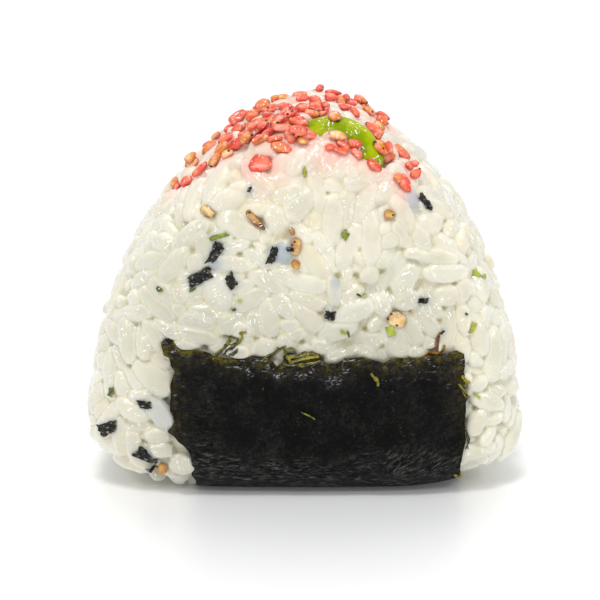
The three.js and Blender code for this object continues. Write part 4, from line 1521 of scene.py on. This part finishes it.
# the flakes' shine is painted glints on fold crests; they have no painted sheen
addPiece("noriFlakes", flakePoints, faces, "rice", flakeMaterial, {
    "edge": edge * 0.5, "wet": 0.5 - 0.2 * edge, "paintedShine": paintedShine, "paintedSheen": 0 * edge, "lean": 0 * edge,
})
points, faces, (_, _, shade) = gather(fleckParts())
addPiece("greenFlecks", points, faces, "rice", herbMaterial("greenFlecks", herb), {"shade": shade})
print("stage: flakes draped")


def nearness(others, reachOf):
    # 1 at the other points, falling to 0 with distance from them
    tree = treeOf(others)
    away = np.array([tree.find(point)[2] for point in ricePoints])
    return np.exp(-(away / reachOf) ** 2)


def awayFrom(px, py, size):
    # how far the rice is from a place in the view, as share of a size in pixels
    return np.linalg.norm(ricePoints - seenSpot(px, py), axis=1) / (size / view["scale"])


def addRice():
    out = outwards(ricePoints)
    x, _, z = ricePoints.T
    # painted shade: crease grows in hollows and creases and where the skin lies deeper
    wide, fine = (
        ((averaged(ricePoints, riceEdges, rounds) - ricePoints) * out).sum(axis=1) for rounds in (14, 3)
    )
    depth = np.clip(-levelOf(ricePoints), 0, 10)
    patchy = 0.55 + 0.45 * bumps(ricePoints, 5.0, 10)
    crease = smooth(0.02, 0.3, wide) * 0.25 + smooth(0.02, 0.12, fine) * patchy * 0.45
    crease += smooth(1.3, 3.0, depth) * 0.5
    # painted shade in the gaps where three grains meet and in the listed gaps, more where deeper
    gap = 0.25 * smooth(0.7, 0.2, junction) * smooth(0.0, 0.5, bumps(ricePoints, 3.1, 30))
    gap *= smooth(54, 46, z)
    for spot, (_, _, size, _, dark) in zip(gapSpots, gaps):
        away = np.linalg.norm(ricePoints - spot, axis=1) / size
        dark = dark * smooth(1.9, 0.7, away) * smooth(0.1, 0.5, depth)
        gap = np.maximum(gap, dark * (0.25 + 0.75 * smooth(0.9, 0.2, border)))
    # plum juice around the seeds, from grain to grain, and little of it on the right flank
    sesame = np.vstack([block[::7] for block in umeBlocks["points"]])
    wandering = 0.6 + 0.4 * bumps(ricePoints, 3.0, 8)
    wandering *= np.random.RandomState(rice["juiceSeed"]).uniform(0.4, 1.4, len(grainTone))[owner]
    upper = smooth(49, 56, z)
    size, strength, more = rice["juiceAround"]
    pink = nearness(sesame, size) * (strength + more * upper) * wandering
    pink += sum(strength * nearness(sesame, size) for size, strength in rice["juice"])
    pink = np.clip(pink, 0, 1) * (1 - 0.85 * smooth(0.3, 0.7, out[:, 0]) * (1 - upper))
    grey = nearness(flakePoints[::5], 0.7) * (0.35 + 0.3 * bumps(ricePoints, 1.6, 9))
    for *spot, strength in stains:
        away = awayFrom(*spot)
        same = owner == owner[np.argmin(away)]      # mostly within one grain
        stained = np.where(same, smooth(2.2, 0.9, away), 0.4 * smooth(1.3, 0.4, away))
        grey = np.maximum(grey, strength * stained)
    tan = np.zeros(len(z))
    for *spot, strength in smears:
        tan = np.maximum(tan, strength * smooth(1.4, 0.5, awayFrom(*spot)))
    # painted shade: darker low down, fading out toward the right flank and weaker at the left
    height = z + 5 * bumps(ricePoints, 9.0, 25) - 5 * smooth(0, -12, x)
    low = smooth(44, 25, height) * smooth(30, 14, x) * (1 - 0.7 * smooth(-20, -29, x))
    addPiece("riceGrains", ricePoints, riceFaces, "rice", riceMaterial(), {
        "tone": grainTone[owner], "border": border, "crease": np.clip(crease, 0, 1), "pink": pink,
        "grey": np.clip(grey, 0, 1), "low": low, "tan": tan, "gap": gap,
    })


addRice()
print("stage: rice made")


def noriSheet():
    # where the strip lies on the ball, how near its edges that is and how near its two ends
    columns, rows = nori["columns"], nori["rows"]
    share = np.linspace(0, 1, columns + 1)
    x = nori["left"] + share * (nori["right"] - nori["left"])
    edgeX, edgeZ = viewCurve(nori["topEdge"])
    topFront = np.interp(edgeX[0] + share * (edgeX[-1] - edgeX[0]), edgeX, edgeZ)
    topBack = nori["top"] + 0.55 * np.sin(share * 19) + 0.4 * np.sin(share * 43 + 1)
    topBack += 0.25 * np.sin(share * 97) + 0.2 * np.sin(share * 151)
    # lines that step down the front, under the foot and up the back, each in its own plane
    line = [reach(np.column_stack([x, 0 * x - 60, topFront]), (0, 1, 0))]
    for _ in range(300):
        out = outwards(line[-1])
        step = line[-1] + unit(np.column_stack([0 * x, -out[:, 2], out[:, 1]])) * nori["step"]
        for _ in range(3):
            lift = outwards(step)
            rate = np.hypot(lift[:, 1], lift[:, 2])
            lift[:, 0] = 0
            step = step - lift * (levelOf(step) / (rate * rate))[:, None]
        line.append(step)
    line = np.array(line)
    sheet, run = np.empty((columns + 1, rows + 1, 3)), np.empty((columns + 1, rows + 1))
    for column in range(columns + 1):
        done = (line[:, column, 1] > 0) & (line[:, column, 2] >= topBack[column])
        last = np.argmax(done)
        at = last * np.linspace(0, 1, rows + 1) ** nori["crowding"]
        run[column] = np.minimum(at, last - at) * nori["step"]
        for axis in range(3):
            sheet[column, :, axis] = np.interp(at, np.arange(last + 1), line[:last + 1, column, axis])
    z, back = sheet[..., 2], smooth(-6, 6, sheet[..., 1])
    ragged = 0.3 * np.sin(z * 0.9) + 0.18 * np.sin(z * 2.1 + 2) + 0.12 * np.sin(z * 5.3)
    leftFront, rightFront = (
        np.interp(z, edgeZ[::-1], edgeX[::-1])
        for edgeX, edgeZ in (viewCurve(nori[key]) for key in ("leftEdge", "rightEdge"))
    )
    left = leftFront * (1 - back) + (noriLeft(z) + ragged) * back
    right = rightFront * (1 - back) + (nori["right"] + ragged[::-1]) * back
    sheet[..., 0] = left + share[:, None] * (right - left)
    sheet = settle(sheet)
    across = np.minimum(share, 1 - share)[:, None] * (nori["right"] - nori["left"])
    return sheet, np.minimum(across, run), run


def ridged(value):
    return 1 - 2 * np.abs(value)


def noriRelief(p, out, run):
    # waves, a crumpled wet band along the top, fine wrinkles low down and slanting folds at the
    # lower right, all flat where the strip carries the weight; also where it gets painted glints and
    # painted satin sheen
    x, y, z = np.moveaxis(p, -1, 0)
    lying = smooth(0.35, 0.85, -out[..., 2])
    waves = (
        np.sin(x * 0.42 + z * 0.23)
        + np.sin(x * 0.19 - z * 0.61 + 1.7)
        + 0.6 * np.sin(x * 0.87 + z * 0.35 + y)
    ) * nori["wave"] / 2.6
    corners = smooth(-17.5, -21, x) + smooth(21, 25, x) * smooth(12, 17, z)
    band = np.clip(smooth(5.0, 0.8, run + 1.2 * bumps(p, 4.0, 19)) + 0.6 * corners, 0, 1)
    crests = ridged(bumps(p * (0.55, 1.0, 1.25), 1.3, 13))
    crumple = nori["crumple"] * bumps(p, 2.3, 12) + nori["crests"] * crests
    crumple = band * (crumple + nori["grit"] * ridged(bumps(p, 0.7, 20)))
    reachUp = 4 * smooth(-8, -18, x) + 1.5 * smooth(5, 15, x)
    low = smooth(9.5 + reachUp, 2.5 + 0.5 * reachUp, z + 1.5 * bumps(p, 5.0, 21))
    bent = p + bumps(p, 3.2, 24)[..., None] * (0, 0, 0.7)
    lines = ridged(bumps(bent * (0.3, 0.7, 1.0), 0.75, 16))
    slant = np.stack([x * 0.77 + z * 0.64, y, z * 0.77 - x * 0.64], axis=-1)
    folds = ridged(bumps(slant * (0.14, 0.5, 1.0), 0.7, 18))
    corner = smooth(7, 17, x) * smooth(17, 9, z) * smooth(1.5, 5, z)
    swirl = smooth(-11, -18, x) * bumps(p * (1.3, 1.0, 0.5), 1.1, 17)
    wrinkles = nori["wrinkles"] * low * lines + nori["folds"] * corner * folds + nori["swirl"] * swirl
    grain = sum(height * bumps(p, size, seed) for height, size, seed in nori["grain"])
    # painted glints on the crests of the wet band, in clusters; painted satin sheen low down, on the swirls
    # at the left and on the folds at the lower right
    paintedShine = band * smooth(0.4, 0.9, crests)
    paintedShine *= smooth(-0.3, 0.3, bumps(p, 1.1, 22)) * smooth(-0.7, 0.1, bumps(p, 3.4, 26))
    sheen = smooth(-0.3, 0.6, bumps(slant * (0.5, 1.0, 1.0), 4.0, 23))
    paintedSheen = low * (0.4 + smooth(0.1, 0.8, lines)) + 0.5 * swirl
    paintedSheen += corner * sheen * (0.12 + 0.18 * smooth(-0.2, 0.9, folds))
    relief = (waves + crumple + wrinkles + grain) * (1 - lying)
    return relief, band, np.clip(paintedShine, 0, 1), np.clip(paintedSheen, 0, 1), corner


def addNori():
    sheet, edge, run = noriSheet()
    out = outwards(sheet)
    relief, wet, paintedShine, paintedSheen, lean = noriRelief(sheet, out, run)
    level = np.maximum(relief, -0.3)
    top = sheet + out * level[..., None]
    under = sheet + out * (level - nori["thickness"])[..., None]
    top[..., 2] = np.maximum(top[..., 2], 0.0)
    under[..., 2] = np.maximum(under[..., 2], 0.12)
    points = np.vstack([top.reshape(-1, 3), under.reshape(-1, 3)])
    faces = slabFaces(nori["columns"], nori["rows"], False)
    edge = smooth(1.7, 0.1, edge) * (0.1 + 0.9 * wet) * (0.35 + 0.65 * smooth(5, 2, run))
    # shine carries painted glints and satin painted sheen
    values = {"edge": edge, "wet": wet, "paintedShine": paintedShine, "paintedSheen": paintedSheen, "lean": lean}
    material = seaweedMaterial("noriSheet", seaweed["sheetSpecular"])
    addPiece("noriSheet", points, faces, "nori", material, {
        key: np.tile(value.ravel(), 2) for key, value in values.items()
    })
    ground.trees.append(BVHTree.FromPolygons(points.tolist(), faces))


addNori()

noriShreds = {
    "thickness": 0.2,
    "steps": 5,             # between two places
    "around": 6,
    "split": ((0.75, 6), (0.45, 3)),    # strands wider than this are torn in so many
    "thinnest": 0.24,
    "seed": 43,
    # width in mm, darkness (0 olive, 1 red-brown) and places in the view of each strand
    "strands": [
        (0.8, 0.5, [(214, 358), (218, 353), (222, 350), (226, 345), (229, 341)]),
        (0.5, 0.25, [(228, 345), (229, 341), (230, 337), (235, 337), (238, 340), (236, 344), (231, 345)]),
        (0.5, 0.2, [(237, 345), (240, 341), (242, 336), (241, 332), (246, 332.5)]),
        (0.9, 0.5, [(224, 354), (228, 349), (233, 347), (237, 344)]),
        (0.7, 0.6, [(230, 355), (234, 353), (237, 351)]),
        (0.7, 0.45, [(263, 358), (268, 355.5), (274, 353), (281, 348), (285, 346.5)]),
        (0.6, 0.1, [(280, 347.5), (285, 350), (291, 348), (294, 349)]),
        (0.9, 0.2, [(284, 348), (286, 353), (288, 357), (291, 363)]),
        (1.0, 0.15, [(288, 357), (296, 356), (305, 353), (313, 354)]),
        (1.0, 0.05, [(292, 362), (300, 359), (309, 357), (319, 356)]),
        (0.9, 0.3, [(282, 364), (292, 364), (303, 365), (314, 363), (320, 361)]),
        (0.7, 0.1, [(306, 354), (312, 352.5), (317, 355), (320, 354)]),
        (0.5, 1.0, [(438, 352), (436, 347), (436.5, 342), (438, 337), (441, 333)]),
        (0.6, 1.0, [(425, 355), (430, 353), (436, 352.5), (441, 352)]),
        (0.4, 1.0, [(443, 351), (443.5, 348), (444.5, 345)]),
        (0.5, 0.05, [(462, 375), (465, 379), (466, 384), (468, 388)]),
        (0.5, 0.1, [(459, 385), (463, 389), (466, 394), (470, 397.5)]),
        (0.4, 0.0, [(464, 380), (467, 382), (470, 382)]),
        (0.4, 0.3, [(371, 373), (375, 378), (378, 382), (378, 386)]),
        (0.22, 0.4, [(301, 411.5), (308, 415), (315, 419)]),
        (0.5, 0.35, [(466, 430), (467, 436), (468, 442), (466, 447)]),
        (0.5, 0.05, [(453, 474), (459, 475), (465, 475.5)]),
    ],
}


def strandPart(width, places, random):
    # a thin crinkled strand that follows the ground from place to place
    fine = np.linspace(0, len(places) - 1, (len(places) - 1) * noriShreds["steps"] + 1)
    rows = np.column_stack([np.interp(fine, np.arange(len(places)), column) for column in places.T])
    rows[1:-1] = (rows[:-2] + 2 * rows[1:-1] + rows[2:]) / 4 + random.normal(size=(len(rows) - 2, 2)) * 0.3
    middle = np.array([ground.seen(*row)[0] for row in rows])
    middle[1:-1] = (middle[:-2] + middle[1:-1] + middle[2:]) / 3
    out = outwards(middle)
    middle = middle + out * (0.12 + 0.12 * random.uniform(size=(len(rows), 1)))
    side = unit(np.cross(out, unit(np.gradient(middle, axis=0))))
    around = noriShreds["around"]
    turn = np.arange(around) * 2 * math.pi / around
    taper = np.sin(np.linspace(0.35, math.pi - 0.25, len(rows))) ** 0.5
    wide = width / 2 * taper * (1 + 0.25 * random.normal(size=len(rows)))
    points = (
        middle[:, None]
        + side[:, None] * (np.cos(turn)[None] * wide[:, None])[..., None]
        + out[:, None] * (np.sin(turn) * noriShreds["thickness"] / 2)[None, :, None]
    ).reshape(-1, 3)
    last = len(points)
    faces = [tuple(range(around)), tuple(range(last - 1, last - 1 - around, -1))]
    for a in range(0, last - around, around):
        for j in range(around):
            k = (j + 1) % around
            faces.append((a + j, a + around + j, a + around + k, a + k))
    return points, faces, np.zeros((2, last))


def addShreds():
    random = np.random.RandomState(noriShreds["seed"])
    parts = []
    for width, shade, places in noriShreds["strands"]:
        split = next((count for wide, count in noriShreds["split"] if width > wide), 1)
        for _ in range(split):
            moved = np.array(places) + random.normal(size=(len(places), 2)) * 0.9 * (split > 1)
            tint = shade if shade > 0.85 else shade + random.uniform(-0.2, 0.3) * (split > 1)
            thin = max(width / split * 1.5, noriShreds["thinnest"])
            parts.append((strandPart(thin, moved, random), max(tint, 0)))
    points, faces, (_, _, shade) = gather(parts)
    addPiece("noriShreds", points, faces, "nori", herbMaterial("noriShreds", shred), {"shade": shade})


addShreds()

beanLook = {
    "body": (0.22, 0.32, 0.0003), "pale": (0.43, 0.50, 0.003), "deep": (0.11, 0.22, 0.0005),
    "skin": {
        "Coarse": 500.0, "Fine": 2300.0, "Patch": 330.0, "Smoothest": 0.07, "Dullest": 0.18,
        "Gloss": 0.04, "PaintedGlintScale": 2500.0, "PaintedGlintThreshold": 0.6,
    },
    "bump": (0.8, 0.0004),
    "shader": {
        "Subsurface Weight": 0.4, "Subsurface Radius": (0.5, 1.0, 0.1), "Subsurface Scale": 0.0008,
        "Specular IOR Level": 0.08, "Coat Roughness": 0.06,
    },
}


def beanMaterial():
    look = beanLook
    material, tree, shader = newMaterial("soybean", look["shader"])
    color = layered(tree, look, look["body"], [
        (patches(tree, 230.0, 0.4, 0.64), "pale"), (times(tree, read(tree, "side"), 0.8), "deep"),
    ])
    giveWetSkinAndPaintedGlints(tree, shader, color, look)
    return material


side = smooth(0.6, 1.0, np.abs(beanAlong)) * 0.6
addPiece("soybeanSkin", beanSkin, beanFaces, "soybean", beanMaterial(), {"side": side})
print("stage: soybean and nori made")
